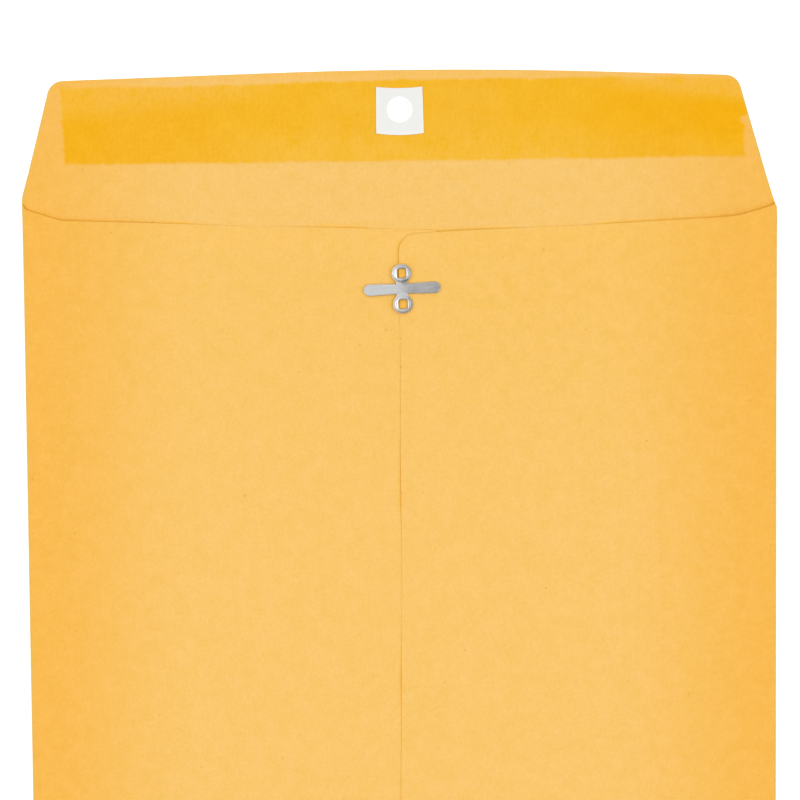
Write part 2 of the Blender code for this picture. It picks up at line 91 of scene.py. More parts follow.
HOLE_X = CLASP_CENTRE.x - 0.00046  # the hole lies a little left of the clasp
HOLE_H = SCORE_Y - CLASP_CENTRE.y + 0.00011  # and about as far above the score as the clasp lies below it
SCORE_BAND = 0.0012  # half the width of the score that bends when the flap turns
PRONG_BAND = 0.0003  # half the length of a prong's bend
FOLD_POINTS = 17  # points round a fold
HALF_FOLD = FOLD_POINTS // 2
RIM = 0.01  # mark of a point on the flap's cut edge, less by its distance inwards
# painted bounce light and shade fill this strip
GLOW_REACH = 0.0016  # width of the tinted strip beside an edge that lies over the sheet
CLEAR = 0.00001  # least space between the two panels at the seam
PATCH_GAP, PATCH_PAPER = 0.00005, 0.0001  # the patch above the flap, and its thickness
FILM = 0.00004  # rise of the gum from its outline inwards
FILM_SUNK, FILM_ROOT = 0.00001, 0.00003  # how far its outline and its underside lie in the paper
FLOOR_Z = -0.0001
# reach of a speck, and of the painted shade round the clasp
SPECK_RADIUS, CLASP_SHADE_RADIUS = 0.0006, 0.0046
SPECKS = (  # dark specks of the sheet, each with its strength
    ((-0.0046, SCORE_Y - 0.03935, LEFT_TOP), 0.28),
    ((-0.0482, SCORE_Y - 0.08945, LEFT_TOP), 0.3),
    ((0.07455, SCORE_Y - 0.07395, RIGHT_TOP), 0.26),
    ((0.0433, SCORE_Y - 0.0154, RIGHT_TOP), 0.26),
    ((-0.096, SCORE_Y + 0.01, PAPER), 0.2),
)


# Settings that a user would change


def length(name, text, value):
    return FloatProperty(
        name=name, description=text, default=value, subtype="DISTANCE", unit="LENGTH", precision=5
    )


def number(name, text, value):
    return FloatProperty(name=name, description=text, default=value)


def colour(name, text, value):
    return FloatVectorProperty(
        name=name, description=text, default=value, size=3, min=0.0, max=1.0, subtype="COLOR"
    )


class PaperSettings(bpy.types.PropertyGroup):
    """Sizes and colours of the kraft sheet"""

    body: colour("Body", "Kraft in the middle of the back", (0.74, 0.438, 0.114))
    # painted shade: the deeper, more saturated kraft beside the side folds
    margin: colour("Margin", "Kraft beside the side folds", (0.735, 0.38, 0.06))
    pale: colour("Pale", "Kraft of the flap and of the inside", (0.73, 0.441, 0.12))
    left_throat: length("Left throat", "Left panel's edge below the score, at the middle", 0.00892)
    right_throat: length("Right throat", "Right panel's edge below the score, at the middle", 0.0103)
    seam_corner: length("Seam corner", "Radius at the top of the seam", 0.0052)
    lip: length("Lip", "Length of panel that leans towards the front at the throat", 0.009)
    mouth: number("Mouth", "Scale of the opening along the throat", 1.0)
    bottom_reach: length("Bottom flap", "Height of the bottom flap", 0.03)


class FlapSettings(bpy.types.PropertyGroup):
    """Sizes and colours of the seal flap with its gum and patch"""

    corner: length("Corner", "Radius of the flap's top corners", 0.0047)
    curl: length("Curl", "How far the flap's corners lift", 0.0003)
    hole: length("Hole", "Diameter of the patch's hole, a little less than the flap's", 0.00773)
    gum: colour("Gum", "Gum where it lies thick", (0.715, 0.353, 0.0115))
    thin_gum: colour("Thin gum", "Gum where it lies thin", (0.725, 0.383, 0.038))
    patch_side: length("Patch", "Side of the reinforcing patch", 0.0143)
    patch: colour("Patch colour", "White paper of the patch", (0.675, 0.678, 0.65))


class ClaspSettings(bpy.types.PropertyGroup):
    """Sizes and colours of the clasp"""

    sheet: length("Sheet", "Thickness of the strip", 0.00028)
    ear_spacing: length("Ear spacing", "Between the centres of the ears", 0.00937)
    ear: length("Ear", "Diameter of an ear", 0.006)
    hole: length("Ear hole", "Side of an ear's square hole", 0.0025)
    bead: length("Bead", "Height of an ear's pressed rim", 0.00045)
    roll: length("Roll", "How far the rim rolls down into the hole", 0.00025)
    neck: length("Neck", "Width of the neck between the ears", 0.0033)
    span: length("Span", "Tip to tip of the prongs", 0.0232)
    prong_root: length("Prong root", "Width of a prong at its root", 0.00305)
    prong_tip: length("Prong tip", "Width of a prong near its tip", 0.0035)
    # the bright colour also carries painted reflection, and the dull one painted shade
    bright: colour("Bright steel", "Tinned steel where it is clean", (0.675, 0.68, 0.685))
    dull_and_shade: colour("Dull steel", "Tinned steel where it has dulled", (0.32, 0.31, 0.305))


class StageSettings(bpy.types.PropertyGroup):
    """Camera, light and floor"""

    lens: number("Lens", "Focal length of the camera in mm", 85.0)
    place: FloatVectorProperty(
        name="Camera", description="Place of the camera", default=(-0.00444, 0.120108, 0.57533),
        size=3, subtype="TRANSLATION", unit="LENGTH",
    )
    aim: FloatVectorProperty(
        name="Aim", description="Tilt, yaw and roll of the camera from straight down",
        default=(math.radians(-2.839), math.radians(-0.393), math.radians(-0.4928)),
        size=3, subtype="EULER", unit="ROTATION",
    )
    left_light: number("Left light", "Power of the left softbox in W", 10.3)
    right_light: number("Right light", "Power of the right softbox in W", 11.1)
    sky: number("Sky", "Strength of the even light from all round", 0.9)
    floor: colour("Floor", "Colour of the floor", (0.93, 0.93, 0.93))


# Numbers and meshes


def ease(t):
    """Smooth step: 0 below 0, 1 above 1 and 3t^2 - 2t^3 between."""
    t = np.clip(t, 0.0, 1.0)
    return t * t * (3 - 2 * t)


def fall(most, reach, t):
    """A value that is most at 0 and below, and falls to 0 at a reach by the smooth step."""
    return most * (1 - ease(t / reach))


def soft_max(a, b, bend):
    """The greater of two values, rounded where they cross: half of a + b + sqrt((a - b)^2 + bend^2)."""
    return (a + b + np.sqrt((a - b) ** 2 + bend**2)) / 2


def joined(*parts):
    """Arrays put end to end."""
    return np.concatenate(parts)


def quarter(steps):
    """Even steps over a quarter of a turn, in radians."""
    return np.linspace(0, math.pi / 2, steps + 1)


def lines(stops, counts):
    """Values through the stops, each stretch between two of them divided evenly into its count of steps."""
    runs = [np.linspace(a, b, n, endpoint=False) for a, b, n in zip(stops, stops[1:], counts)]
    return joined(*runs, stops[-1:])


def waves(t, *parts):
    """Sum of sines, each given as its size, its wave length and its shift."""
    return sum(size * np.sin(2 * np.pi * t / wave + shift) for size, wave, shift in parts)


def through_mm(t, *knots):
    """A curve in metres through points (place, value) in mm: the smooth step from each to the next."""
    place, value = np.array(knots).T
    t = 1000 * t
    k = np.clip(np.searchsorted(place, t) - 1, 0, len(place) - 2)
    return 0.001 * (value[k] + (value[k + 1] - value[k]) * ease((t - place[k]) / (place[k + 1] - place[k])))


def folded(axis, radius, flat):
    """A folded sheet's section: half a circle round an axis, from its foot to its top, and then flat places.

    Returns the places and heights of its outer and of its inner line, and how far each point faces the fold.
    """
    turn = np.linspace(1.5 * math.pi, 0.5 * math.pi, FOLD_POINTS)
    section = []
    for reach in (radius, radius - PAPER):
        section.append(joined(axis + reach * np.cos(turn), flat))
        section.append(joined(radius + reach * np.sin(turn), 0 * flat + radius + reach))
    return *section, joined(np.cos(turn), 0 * flat)


def grid_quads(index):
    """Quads over a grid of vertex numbers, as cells of four."""
    return np.stack((index[:-1, :-1], index[:-1, 1:], index[1:, 1:], index[1:, :-1]), axis=-1)


def closed_mesh(name, points, faces, sharp=40):
    """One closed shell with its faces turned outwards, smooth but for edges sharper than an angle."""
    mesh = bpy.data.meshes.new(name)
    mesh.from_pydata(points.tolist(), [], faces)
    bm = bmesh.new()
    bm.from_mesh(mesh)
    bmesh.ops.recalc_face_normals(bm, faces=bm.faces)
    if bm.calc_volume(signed=True) < 0:
        bmesh.ops.reverse_faces(bm, faces=bm.faces)
    bm.to_mesh(mesh)
    bm.free()
    mesh.shade_smooth()
    mesh.set_sharp_from_angle(angle=math.radians(sharp))
    return mesh


def slab(name, upper, lower, hole=None, **marks):
    """A sheet between two grids of points, walled along its edges and round the cells that a hole leaves out.

    Wall: an edge that only one quad has is joined to its twin on the other grid. Each grid of marks is kept
    as an attribute of the upper points, and the lower ones have 0.
    """
    count = upper.shape[0] * upper.shape[1]
    quads = grid_quads(np.arange(count).reshape(upper.shape[:2]))
    quads = quads.reshape(-1, 4) if hole is None else quads[~hole]
    edges = np.stack((quads, np.roll(quads, -1, axis=1)), axis=-1).reshape(-1, 2)
    rim = edges[~np.isin(edges @ (count, 1), edges @ (1, count))]
    walls = np.stack((rim[:, 1], rim[:, 0], rim[:, 0] + count, rim[:, 1] + count), axis=-1)
    faces = joined(quads, quads[:, ::-1] + count, walls)
    used, faces = np.unique(faces, return_inverse=True)
    points = joined(upper.reshape(-1, 3), lower.reshape(-1, 3))[used]
    mesh = closed_mesh(name, points, faces.reshape(-1, 4).tolist())
    for key, mark in marks.items():
        values = joined(mark.ravel(), 0 * mark.ravel())[used].astype(np.float32)
        mesh.attributes.new(key, "FLOAT", "POINT").data.foreach_set("value", values)
    return mesh


def tube(name, rings, closed, sharp=40):
    """Quads over rings of points, the last ring joined to the first or both ends capped."""
    count, size = rings.shape[:2]
    index = np.arange(count * size).reshape(count, size)
    caps = [] if closed else [index[0].tolist(), index[-1].tolist()]
    index = np.vstack((index, index[:1])) if closed else index
    quads = grid_quads(np.hstack((index, index[:, :1]))).reshape(-1, 4)
    return closed_mesh(name, rings.reshape(-1, 3), quads.tolist() + caps, sharp)


def hole_stops(centre, radius, reach):
    """Stops of grid lines round a hole: where its pull starts, its two sides and where the pull ends."""
    return [centre - reach * radius, centre - radius, centre + radius, centre + reach * radius]


def round_hole(x, h, centre, radius, reach):
    """Grid lines round a square of half side radius drawn onto a circle of that radius.

    A point is scaled by its greatest coordinate over its distance, and the pull fades out at reach times
    the radius. Returns both coordinates and the cells that lie in the hole.
    """
    across, up = x - centre[0], h - centre[1]
    square, away = np.maximum(np.abs(across), np.abs(up)), np.maximum(np.hypot(across, up), 1e-9)
    scale = 1 + (1 - ease((square - radius) / (radius * (reach - 1)))) * (square / away - 1)
    cell = (square[:-1, :-1] + square[1:, 1:] + square[:-1, 1:] + square[1:, :-1]) / 4
    return centre[0] + across * scale, centre[1] + up * scale, cell < radius * 0.999


def stack(x, y, z):
    """Points from their three coordinates."""
    return np.stack(np.broadcast_arrays(x, y, z), axis=-1)


def add_piece(mesh, material, nodes, body=None):
    """Links a finished mesh as a piece that stands for CAD nodes and, unless it bends, rides on a body."""
    piece = bpy.data.objects.new(mesh.name, mesh)
    bpy.context.scene.collection.objects.link(piece)
    mesh.materials.append(material)
    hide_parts(*nodes)
    if body:
        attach(piece, body)
    return piece


# Outlines of the sheet

FLAP_LEFT, FLAP_PEAK, FLAP_RIGHT = (-0.105, 0.03643), (0.0098, 0.03991), (0.1023, 0.03676)
FLAP_BLEND = 0.05  # length of each slope of the flap's top edge that its arc takes up
FLAP_RIGHT_FOOT = 0.11315
FLAP_LEFT_LEAN, FLAP_LEFT_START = 0.262, 0.0012  # lean of the left side, and where it leaves the side fold
FIXED_X = 0.06  # columns of the flap's grid nearer the middle than this stay straight


def flap_top(x):
    """Top edge above the score: two slopes with a parabola between them."""
    left_slope = (FLAP_PEAK[1] - FLAP_LEFT[1]) / (FLAP_PEAK[0] - FLAP_LEFT[0])
    right_slope = (FLAP_RIGHT[1] - FLAP_PEAK[1]) / (FLAP_RIGHT[0] - FLAP_PEAK[0])
    along = x - (FLAP_PEAK[0] - FLAP_BLEND)
    within = np.clip(along, 0, 2 * FLAP_BLEND)
    bend = within**2 / (4 * FLAP_BLEND) + np.maximum(along - 2 * FLAP_BLEND, 0)
    return FLAP_LEFT[1] + left_slope * (x - FLAP_LEFT[0]) + (right_slope - left_slope) * bend


def corner_arc(below, lean, radius):
    """How far a rounded corner cuts in from its slanted side, at a distance below the top edge.

    The circle touches the top edge and the side, which leans outwards by lean for each unit down.
    """
    reach = radius * math.tan((math.pi / 2 - math.atan(lean)) / 2)
    end = reach * math.cos(math.atan(lean))
    down = np.clip(below, 0, end)
    arc = reach - np.sqrt(np.maximum(radius**2 - (radius - down) ** 2, 0)) + lean * down
    return np.where(below < end, arc, 0.0)


def left_bulge(h):
    """How far the left side swells at heights h above the score, from points (mm above, mm outwards)."""
    return through_mm(
        h, (-304, 0), (-30, 0), (-11.4, 0.05), (-5.3, 0.1), (-2.3, 0.16), (-1.1, 0.21), (-0.2, 0.33),
        (1, 0.31), (5, 0.25), (9, 0.15), (40, 0.15),
    )


def right_bulge(h):
    """How far the right side swells at heights h above the score, from points (mm above, mm outwards)."""
    return through_mm(
        h, (-304, 0), (-62, 0), (-31.6, 0.1), (-13.4, 0.14), (-7.2, 0.24), (-4.2, 0.2), (-3, 0.1),
        (-2.2, -0.05), (-1.2, 0.26), (0.6, 0.16), (3, 0.15), (5, 0.1), (40, 0.1),
    )


def flap_sides(h, radius):
    """Left and right ends of the flap at heights h above the score, h being scaled to the hole's column."""
    part = h / flap_top(HOLE_X)
    right_lean = (FLAP_RIGHT_FOOT - FLAP_RIGHT[0]) / FLAP_RIGHT[1]
    high = part * FLAP_LEFT[1]
    left = -SIDE - left_bulge(high) + FLAP_LEFT_LEAN * soft_max(high - FLAP_LEFT_START, 0 * high, 0.001)
    left = left + corner_arc(FLAP_LEFT[1] - high, FLAP_LEFT_LEAN, radius)
    left = left + (LEFT_RADIUS - 0.0001) * ease((-0.0004 - h) / 0.0004)
    high = part * FLAP_RIGHT[1]
    right = FLAP_RIGHT_FOOT + right_bulge(high) - right_lean * np.maximum(high, -0.00205)
    right = right - corner_arc(FLAP_RIGHT[1] - high, right_lean, radius)
    right = right - (right - SIDE + RIGHT_RADIUS) * ease((-0.0021 - h) / 0.0002)
    return left, right


def flap_lift(x, y, curl):
    """The flap's corners lift a little: curl times the squares of the shares of height and width."""
    high = np.maximum(y - SCORE_Y, 0) / FLAP_PEAK[1]
    return curl * high**2 * (x / SIDE) ** 2


def throat_edge(out, middle, end, dip, step, foot, slope, bend, rise):
    """Top edge of a back panel at distances out from the middle line.

    A gentle line runs from the middle to a point (out, below the score), less a bell (depth, place, width)
    and a step near the seam. A steep line runs on to its foot at the fold, where the edge rises by a height
    over a width. The two are rounded where they meet.
    """
    gentle = -middle + (middle - end[1]) / end[0] * out - fall(step, 0.012, out - 0.002)
    gentle = gentle - dip[0] * np.exp(-(((out - dip[1]) / dip[2]) ** 2))
    steep = -foot - slope * (SIDE - out)
    return SCORE_Y + soft_max(steep, gentle, bend) + rise[0] * ease((out - SIDE + rise[1]) / rise[1])


def left_throat(x, middle):
    """Top edge of the left panel."""
    return throat_edge(
        -x, middle, end=(0.102, 0.0056), dip=(0.00012, 0.052, 0.015), step=0.0,
        foot=0.00187, slope=0.317, bend=0.00016, rise=(0.00146, 0.0008),
    )


def right_throat(x, middle):
    """Top edge of the right panel."""
    return throat_edge(
        x, middle, end=(0.1016, 0.00602), dip=(0.00016, 0.058, 0.018), step=0.00025,
        foot=0.0023, slope=0.3094, bend=0.0008, rise=(0.0007, 0.0012),
    )


def mouth_gap(x):
    """Opening between the front and the nearest panel along the throat, from points (mm across, mm open)."""
    return through_mm(
        x, (-114.3, 0.5), (-108, 0.7), (-100, 0.9), (-82, 0.85), (-68, 0.5), (-58, 0.1), (-48, 0.01),
        (-40, 0.01), (-30, 0.15), (-22, 0.4), (-15, 0.48), (-7, 0.12), (0, 0.01), (3, 0.05), (7, 0.2),
        (12, 0.28), (18, 0.55), (24, 0.75), (32, 0.35), (40, 0.05), (48, 0.01), (54, 0.04), (62, 0.4),
        (70, 0.65), (90, 0.75), (104, 1.1), (114.3, 0.85),
    )


def mouth_lean(x, y, paper, extra=0.0):
    """How far a back panel leans towards the front: fully at the throat, and not at all below its lip."""
    full = LEFT_TOP - 2 * PAPER - paper.mouth * mouth_gap(x) + extra
    below = SCORE_Y - 0.0093 + 0.037 * np.abs(x) - y
    return fall(full, paper.lip, below)


# Materials


class Wire:
    """A shader socket. Operators on it add Math nodes, and node() adds any other node."""

    def __init__(self, tree, socket):
        self.tree, self.socket = tree, socket

    def node(self, kind, settings, sockets, out=0):
        made = self.tree.nodes.new(kind)
        for name, value in settings.items():
            setattr(made, name, value)
        feed(made, sockets)
        return Wire(self.tree, made.outputs[out])

    def math(self, operation, *values):
        return self.node("ShaderNodeMath", {"operation": operation}, dict(enumerate(values)))

    def __add__(self, other):
        return self.math("ADD", self, other)

    def __sub__(self, other):
        return self.math("SUBTRACT", self, other)

    def __rsub__(self, other):
        return self.math("SUBTRACT", other, self)

    def __mul__(self, other):
        return self.math("MULTIPLY", self, other)

    def __abs__(self):
        return self.math("ABSOLUTE", self)

    __radd__ = __add__
    __rmul__ = __mul__

    def rise(self, start, end):
        """Smooth step from 0 at start to 1 at end."""
        sockets = {"Value": self, "From Min": start, "From Max": end}
        return self.node("ShaderNodeMapRange", {"interpolation_type": "SMOOTHSTEP"}, sockets)

    def mix(self, a, b):
        """Colour a where this is 0 and b where it is 1."""
        sockets = {0: self, 6: solid_colour(a), 7: solid_colour(b)}
        return self.node("ShaderNodeMix", {"data_type": "RGBA"}, sockets, 2)

    def tint(self, other):
        """This colour times another."""
        return self.node("ShaderNodeVectorMath", {"operation": "MULTIPLY"}, {0: self, 1: other})

    def stain(self, mask, tone):
        """This colour, times a tone where a mask is 1."""
        return mask.mix((1, 1, 1), tone).tint(self)

    def along(self, axis):
        return self.node("ShaderNodeSeparateXYZ", {}, {0: self}, axis)

    def noise(self, scale, detail=3.0, roughness=0.55, stretch=(1, 1, 1), shift=(0, 0, 0)):
        """Noise of some features a metre, squeezed along each axis by stretch."""
        moved = self.node("ShaderNodeMapping", {}, {"Vector": self, "Scale": stretch, "Location": shift})
        sockets = {"Vector": moved, "Scale": scale, "Detail": detail, "Roughness": roughness}
        return self.node("ShaderNodeTexNoise", {}, sockets, "Fac")

    def mark(self, key):
        """A number that the mesh carries at each point, or 0."""
        return self.node("ShaderNodeAttribute", {"attribute_name": key}, {}, "Fac")

    def spot(self, point, radius):
        """1 at a point, falling to 0 at a distance."""
        gap = self.node("ShaderNodeVectorMath", {"operation": "DISTANCE"}, {0: self, 1: point}, "Value")
        return 1 - gap.rise(radius * 0.4, radius)

    def flecks(self, cells, share_of, radius):
        """Round spots seen from above, one in some of the cells a metre, each with a size of its own."""
        flat, sockets = {"voronoi_dimensions": "2D"}, {"Vector": self, "Scale": cells, "Randomness": 1.0}
        far = self.node("ShaderNodeTexVoronoi", flat, sockets, "Distance")
        pick = self.node("ShaderNodeTexVoronoi", flat, sockets, "Color").along("X")
        size = pick.rise(1 - share_of, 1.0) * (radius * cells)
        return (size - far).rise(0.0, radius * cells * 0.4)

    def bump(self, strength, distance):
        sockets = {"Strength": strength, "Distance": distance, "Height": self}
        return self.node("ShaderNodeBump", {}, sockets, "Normal")


def solid_colour(value):
    return value if isinstance(value, Wire) else (*value, 1.0)


def new_material(name):
    """A material, its Principled shader and its Object coordinates as a wire."""
    made = bpy.data.materials.new(name)
    made.use_nodes = True
    tree = made.node_tree
    place = Wire(tree, tree.nodes.new("ShaderNodeTexCoord").outputs["Object"])
    return made, tree.nodes["Principled BSDF"], place


def feed(node, sockets):
    """Sets a node's sockets to values, or links them to wires."""
    for name, value in sockets.items():
        if isinstance(value, Wire):
            value.tree.links.new(value.socket, node.inputs[name])
        else:
            node.inputs[name].default_value = value


def scaled(tone, factor, lift=0.0):
    """A colour times a factor, no brighter than white."""
    return tuple(min(1.0, factor * part + lift) for part in tone)


def paper_fibre(place):
    """Noise of long fibres that run towards the flap."""
    return place.noise(900.0, 3.0, 0.65, stretch=(3.2, 0.35, 3.2))


def kraft_base(place, middle, margin):
    """Kraft's colour, with painted shade that deepens it beside the folds and along the flap's top edge."""
    side = abs(place.along("X")).rise(0.06, 0.115)
    top = place.along("Y").rise(SCORE_Y + 0.033, SCORE_Y + 0.039)
    return (side + top * 0.55).mix(middle, margin)


# Painted light and shade between two layers: a warm bounce tint beside the upper one, and a deeper shade at
# its very edge
MOUTH_GLOW = (1.1, 1.04, 0.66), (1.0, 0.95, 0.72)
SEAM_GLOW = (1.05, 0.985, 0.66), (1.05, 1.0, 0.72)


def kraft(name, middle, margin, glow, clasp_shades=(), lower=(1, 1, 1), upper=(1, 1, 1)):
    """Golden kraft: clouded, with a fine grain, long fibres, dark flecks and a tooth.

    It carries painted shade: deeper and warmer round the given points, a warm bounce light and a deeper line
    beside an edge that lies over it, a grey along its cut edges and side folds, and a drift from a lower tone
    to a deeper upper one towards the mouth, most at the right.
    """
    made, shader, place = new_material(name)
    cloud, grain = place.noise(260.0, 3.0, 0.6), place.noise(1100.0, 3.0, 0.6)
    fibre = paper_fibre(place)
    base = kraft_base(place, middle, margin)
    base = base.tint(((cloud - 0.5) * 2 + 0.5).mix((1.02, 1.026, 1.15), (0.98, 0.974, 0.85)))
    base = base.tint((grain * 2 + fibre - 1).mix((1.024, 1.048, 1.085), (0.976, 0.952, 0.915)))
    x, y = place.along("X"), place.along("Y")
    # painted shade: the kraft drifts to a deeper tone towards the mouth, where the panels lean
    mouth_shade = y.rise(SCORE_Y - 0.11, SCORE_Y - 0.01) * (x.rise(0.0, 0.05) * 0.4 + 0.6)
    mouth_shade = mouth_shade * (1 - abs(x).rise(0.085, 0.112) * 0.9)
    base = mouth_shade.mix(lower, upper).tint(base)
    # painted shade beside an edge that lies over the sheet: a warm bounce tint, then a deeper line at the
    # edge
    under = place.mark("under")
    base = base.stain(under.rise(0.0, 0.0018), glow[0]).stain(under.rise(0.0009, 0.0017), glow[1])
    # painted shade: a grey along the flap's cut edges and over the side folds
    edge_shade = place.mark("rim").rise(RIM - 0.0007, RIM - 0.0001) + abs(x).rise(SIDE - 0.0014, SIDE + 0.0001)
    base = base.stain(edge_shade, (0.86, 1.02, 1.45))
    for shade_point, tone in clasp_shades:
        base = base.stain(place.spot(shade_point, CLASP_SHADE_RADIUS), tone)
    dark = place.flecks(160.0, 0.09, 0.0004) * 0.3 + place.flecks(520.0, 0.1, 0.00018) * 0.2
    for speck, depth in SPECKS:
        dark = dark + place.spot(speck, SPECK_RADIUS) * depth
    tooth = fibre * 0.6 + grain * 0.5 + place.noise(2600.0, 2.0, 0.6) * 0.35
    feed(shader, {
        "Base Color": dark.mix(base, (0.4, 0.2, 0.06)),
        "Roughness": 0.84 + (grain - 0.5) * 0.16,
        "Normal": tooth.bump(0.16, 0.00005),
        "Specular IOR Level": 0.12,
    })
    return made


def flap_shaded_margin(paper):
    """Kraft with the painted edge shade beside the flap's sides, a little paler than beside the folds."""
    return tuple(0.85 * a + 0.15 * b for a, b in zip(paper.margin, paper.pale))


def gum_finish(flap, paper):
    """Dried gum: thin along the top at both ends and along the bottom, thickest at the right, mottled.

    It has a slight gloss. Within a millimetre of its outline, which the mesh carries as a mark, it fades
    into the paper.
    """
    made, shader, place = new_material("dried_gum")
    x, y = place.along("X"), place.along("Y")
    cloud, grain = place.noise(140.0, 4.0, 0.6), place.noise(800.0, 2.0, 0.5)
    fibre = paper_fibre(place)
    ragged = y + (cloud - 0.5) * 0.005
    left_end, right_end = 1 - x.rise(-0.052, -0.03), x.rise(0.045, 0.075)
    left = (ragged - (x + 0.088) * 0.12).rise(SCORE_Y + 0.0225, SCORE_Y + 0.0305) * left_end
    right = (ragged + (x - 0.0935) * 0.113).rise(SCORE_Y + 0.0272, SCORE_Y + 0.0333) * right_end
    low = 1 - ragged.rise(SCORE_Y + 0.0135, SCORE_Y + 0.026)
    middle = 1 - abs(x - 0.005).rise(0.035, 0.08)
    thin = (left + right) * 0.85 + middle * (low * 0.5 + 0.12) + low * 0.1
    mottle = (cloud - 0.5) * 1.2 + (grain - 0.5) * 0.8 + (fibre - 0.5) * 0.6
    base = (thin + mottle * 0.9).mix(flap.gum, flap.thin_gum).stain(middle, (1.0, 1.035, 1.0))
    base = base.stain(right_end * (1 - right) * (1 - low), (1.0, 0.98, 0.4))
    for across, up, thinned, tone in (
        (-0.101, 0.0225, left, (1.0, 0.985, 0.6)),
        (0.101, 0.0264, right, (1.0, 0.98, 0.35)),
        (0.02, 0.028, low, (1.0, 1.01, 1.5)),
        (-0.014, 0.024, low, (1.0, 1.01, 1.4)),
        (-0.104, 0.03, low, (1.0, 0.99, 0.75)),
    ):
        base = base.stain(place.spot((across, SCORE_Y + up, PAPER), 0.017) * (1 - thinned), tone)
    base = base.tint((mottle * 2 + 0.5).mix((1.015, 1.05, 1.6), (0.985, 0.95, 0.4)))
    fine = place.noise(1700.0, 2.0, 0.6)
    base = base.tint((fine * 1.5 + fibre - 0.75).mix((1.03, 1.04, 1.2), (0.97, 0.96, 0.8)))
    fade = (place.mark("inwards") + (grain - 0.5) * 0.0008 + (cloud - 0.5) * 0.0012).rise(0.0, 0.0013)
    base = fade.mix(kraft_base(place, paper.pale, flap_shaded_margin(paper)), base)
    dark = place.flecks(260.0, 0.06, 0.0003) * 0.2
    feed(shader, {
        "Base Color": dark.mix(base, (0.4, 0.2, 0.02)),
        "Roughness": 0.55 + thin * 0.2 + (grain - 0.5) * 0.15,
        "Normal": (cloud * 0.5 + grain * 0.4 + fibre * 0.4).bump(0.12, 0.00004),
        "Specular IOR Level": 0.06,
    })
    return made


def patch_finish(flap):
    """White reinforcing paper: faint fibres and clouds, a little brighter along its cut edges."""
    made, shader, place = new_material("white_patch")
    centre = (-HOLE_X, -SCORE_Y - HOLE_H, 0.0)
    local = place.node("ShaderNodeMapping", {}, {"Vector": place, "Location": centre})
    edge = place.math("MAXIMUM", abs(local.along("X")), abs(local.along("Y")))
    rim = edge.rise(flap.patch_side * 0.43, flap.patch_side * 0.5)
    cloud, grain = place.noise(300.0, 3.0), place.noise(1800.0, 3.0, 0.6)
    fibre = place.noise(1500.0, 2.0, 0.6, stretch=(0.5, 2.2, 1.0))
    tone = (cloud - 0.5) * 0.5 + (fibre - 0.5) * 0.5 + (grain - 0.5) * 0.3
    base = (tone + 0.5).mix(scaled(flap.patch, 0.94), scaled(flap.patch, 1.05))
    feed(shader, {
        "Base Color": (rim * 0.5).mix(base, scaled(flap.patch, 1.06, 0.01)),
        "Roughness": 0.7 + (grain - 0.5) * 0.2,
        "Normal": (fibre * 0.6 + grain * 0.5).bump(0.15, 0.00004),
        "Specular IOR Level": 0.3,
    })
    return made


def steel_finish(name, clasp):
    """Tinned steel with rolling lines, blooms and fine scratches, and with painted light and shade.

    A painted reflection brightens the left and the neck above the lower ear. Painted shade darkens the right,
    the right tip, the right side of each ear, the lower ear and the neck under the upper ear.
    """
    made, shader, place = new_material(name)
    sockets = {"Vector": place, "Location": tuple(CLASP_CENTRE), "Rotation": (0.0, 0.0, CLASP_ANGLE)}
    local = place.node("ShaderNodeMapping", {"vector_type": "TEXTURE"}, sockets)
    x, y = local.along("X"), local.along("Y")
    bloom, fine = local.noise(420.0, 4.0, 0.6), local.noise(2600.0, 3.0, 0.6)
    rolled = local.noise(1400.0, 3.0, 0.6, stretch=(0.12, 3.0, 3.0))
    scratch = local.noise(900.0, 2.0, 0.5, stretch=(0.3, 9.0, 1.0), shift=(0.3, 0.1, 0.0)).rise(0.62, 0.78)
    # painted reflection and shade: brighter on the left and duller on the right, with real blooms and rolling
    # lines
    dull_and_shade = x.rise(-0.003, 0.003) * 0.6 + (bloom - 0.5) * 0.9 + (rolled - 0.5) * 0.7
    # painted shade under the upper ear, a painted reflection above the lower ear, painted shade on each ear's
    # right side, the right tip and the lower ear
    dull_and_shade = dull_and_shade + local.spot((0.0007, 0.0023, 0.0), 0.0016) * 0.4
    dull_and_shade = dull_and_shade - local.spot((0.0, -0.0022, 0.0), 0.002) * 0.35
    dull_and_shade = dull_and_shade + x.rise(0.0008, 0.002) * abs(y).rise(0.002, 0.003) * 0.15
    dull_and_shade = dull_and_shade + x.rise(0.007, 0.0115) * 0.25 + (1 - y.rise(-0.0035, -0.0025)) * 0.12
    feed(shader, {
        "Base Color": dull_and_shade.mix(clasp.bright, clasp.dull_and_shade),
        "Metallic": 1.0,
        "Roughness": 0.3 + (bloom - 0.5) * 0.18 + (fine - 0.5) * 0.1 + scratch * 0.08,
        "Normal": (rolled * 0.5 + fine * 0.35 + scratch * -0.5 + bloom * 0.3).bump(0.1, 0.00002),
    })
    return made


def glue_finish():
    """Dried glue: a clear brown film with streaks and small bubbles."""
    made, shader, place = new_material("seam_film")
    streak = place.noise(700.0, 3.0, 0.6, stretch=(1.0, 0.15, 1.0))
    bubble = place.flecks(900.0, 0.4, 0.0003)
    feed(shader, {
        "Base Color": streak.mix((0.5, 0.33, 0.12), (0.72, 0.55, 0.28)),
        "Roughness": 0.35 + streak * 0.3,
        "Normal": (streak + bubble * 0.5).bump(0.2, 0.00005),
    })
    return made


def shared(name, make, *values):
    """A material by name, made when it is first asked for."""
    return bpy.data.materials.get(name) or make(name, *values)


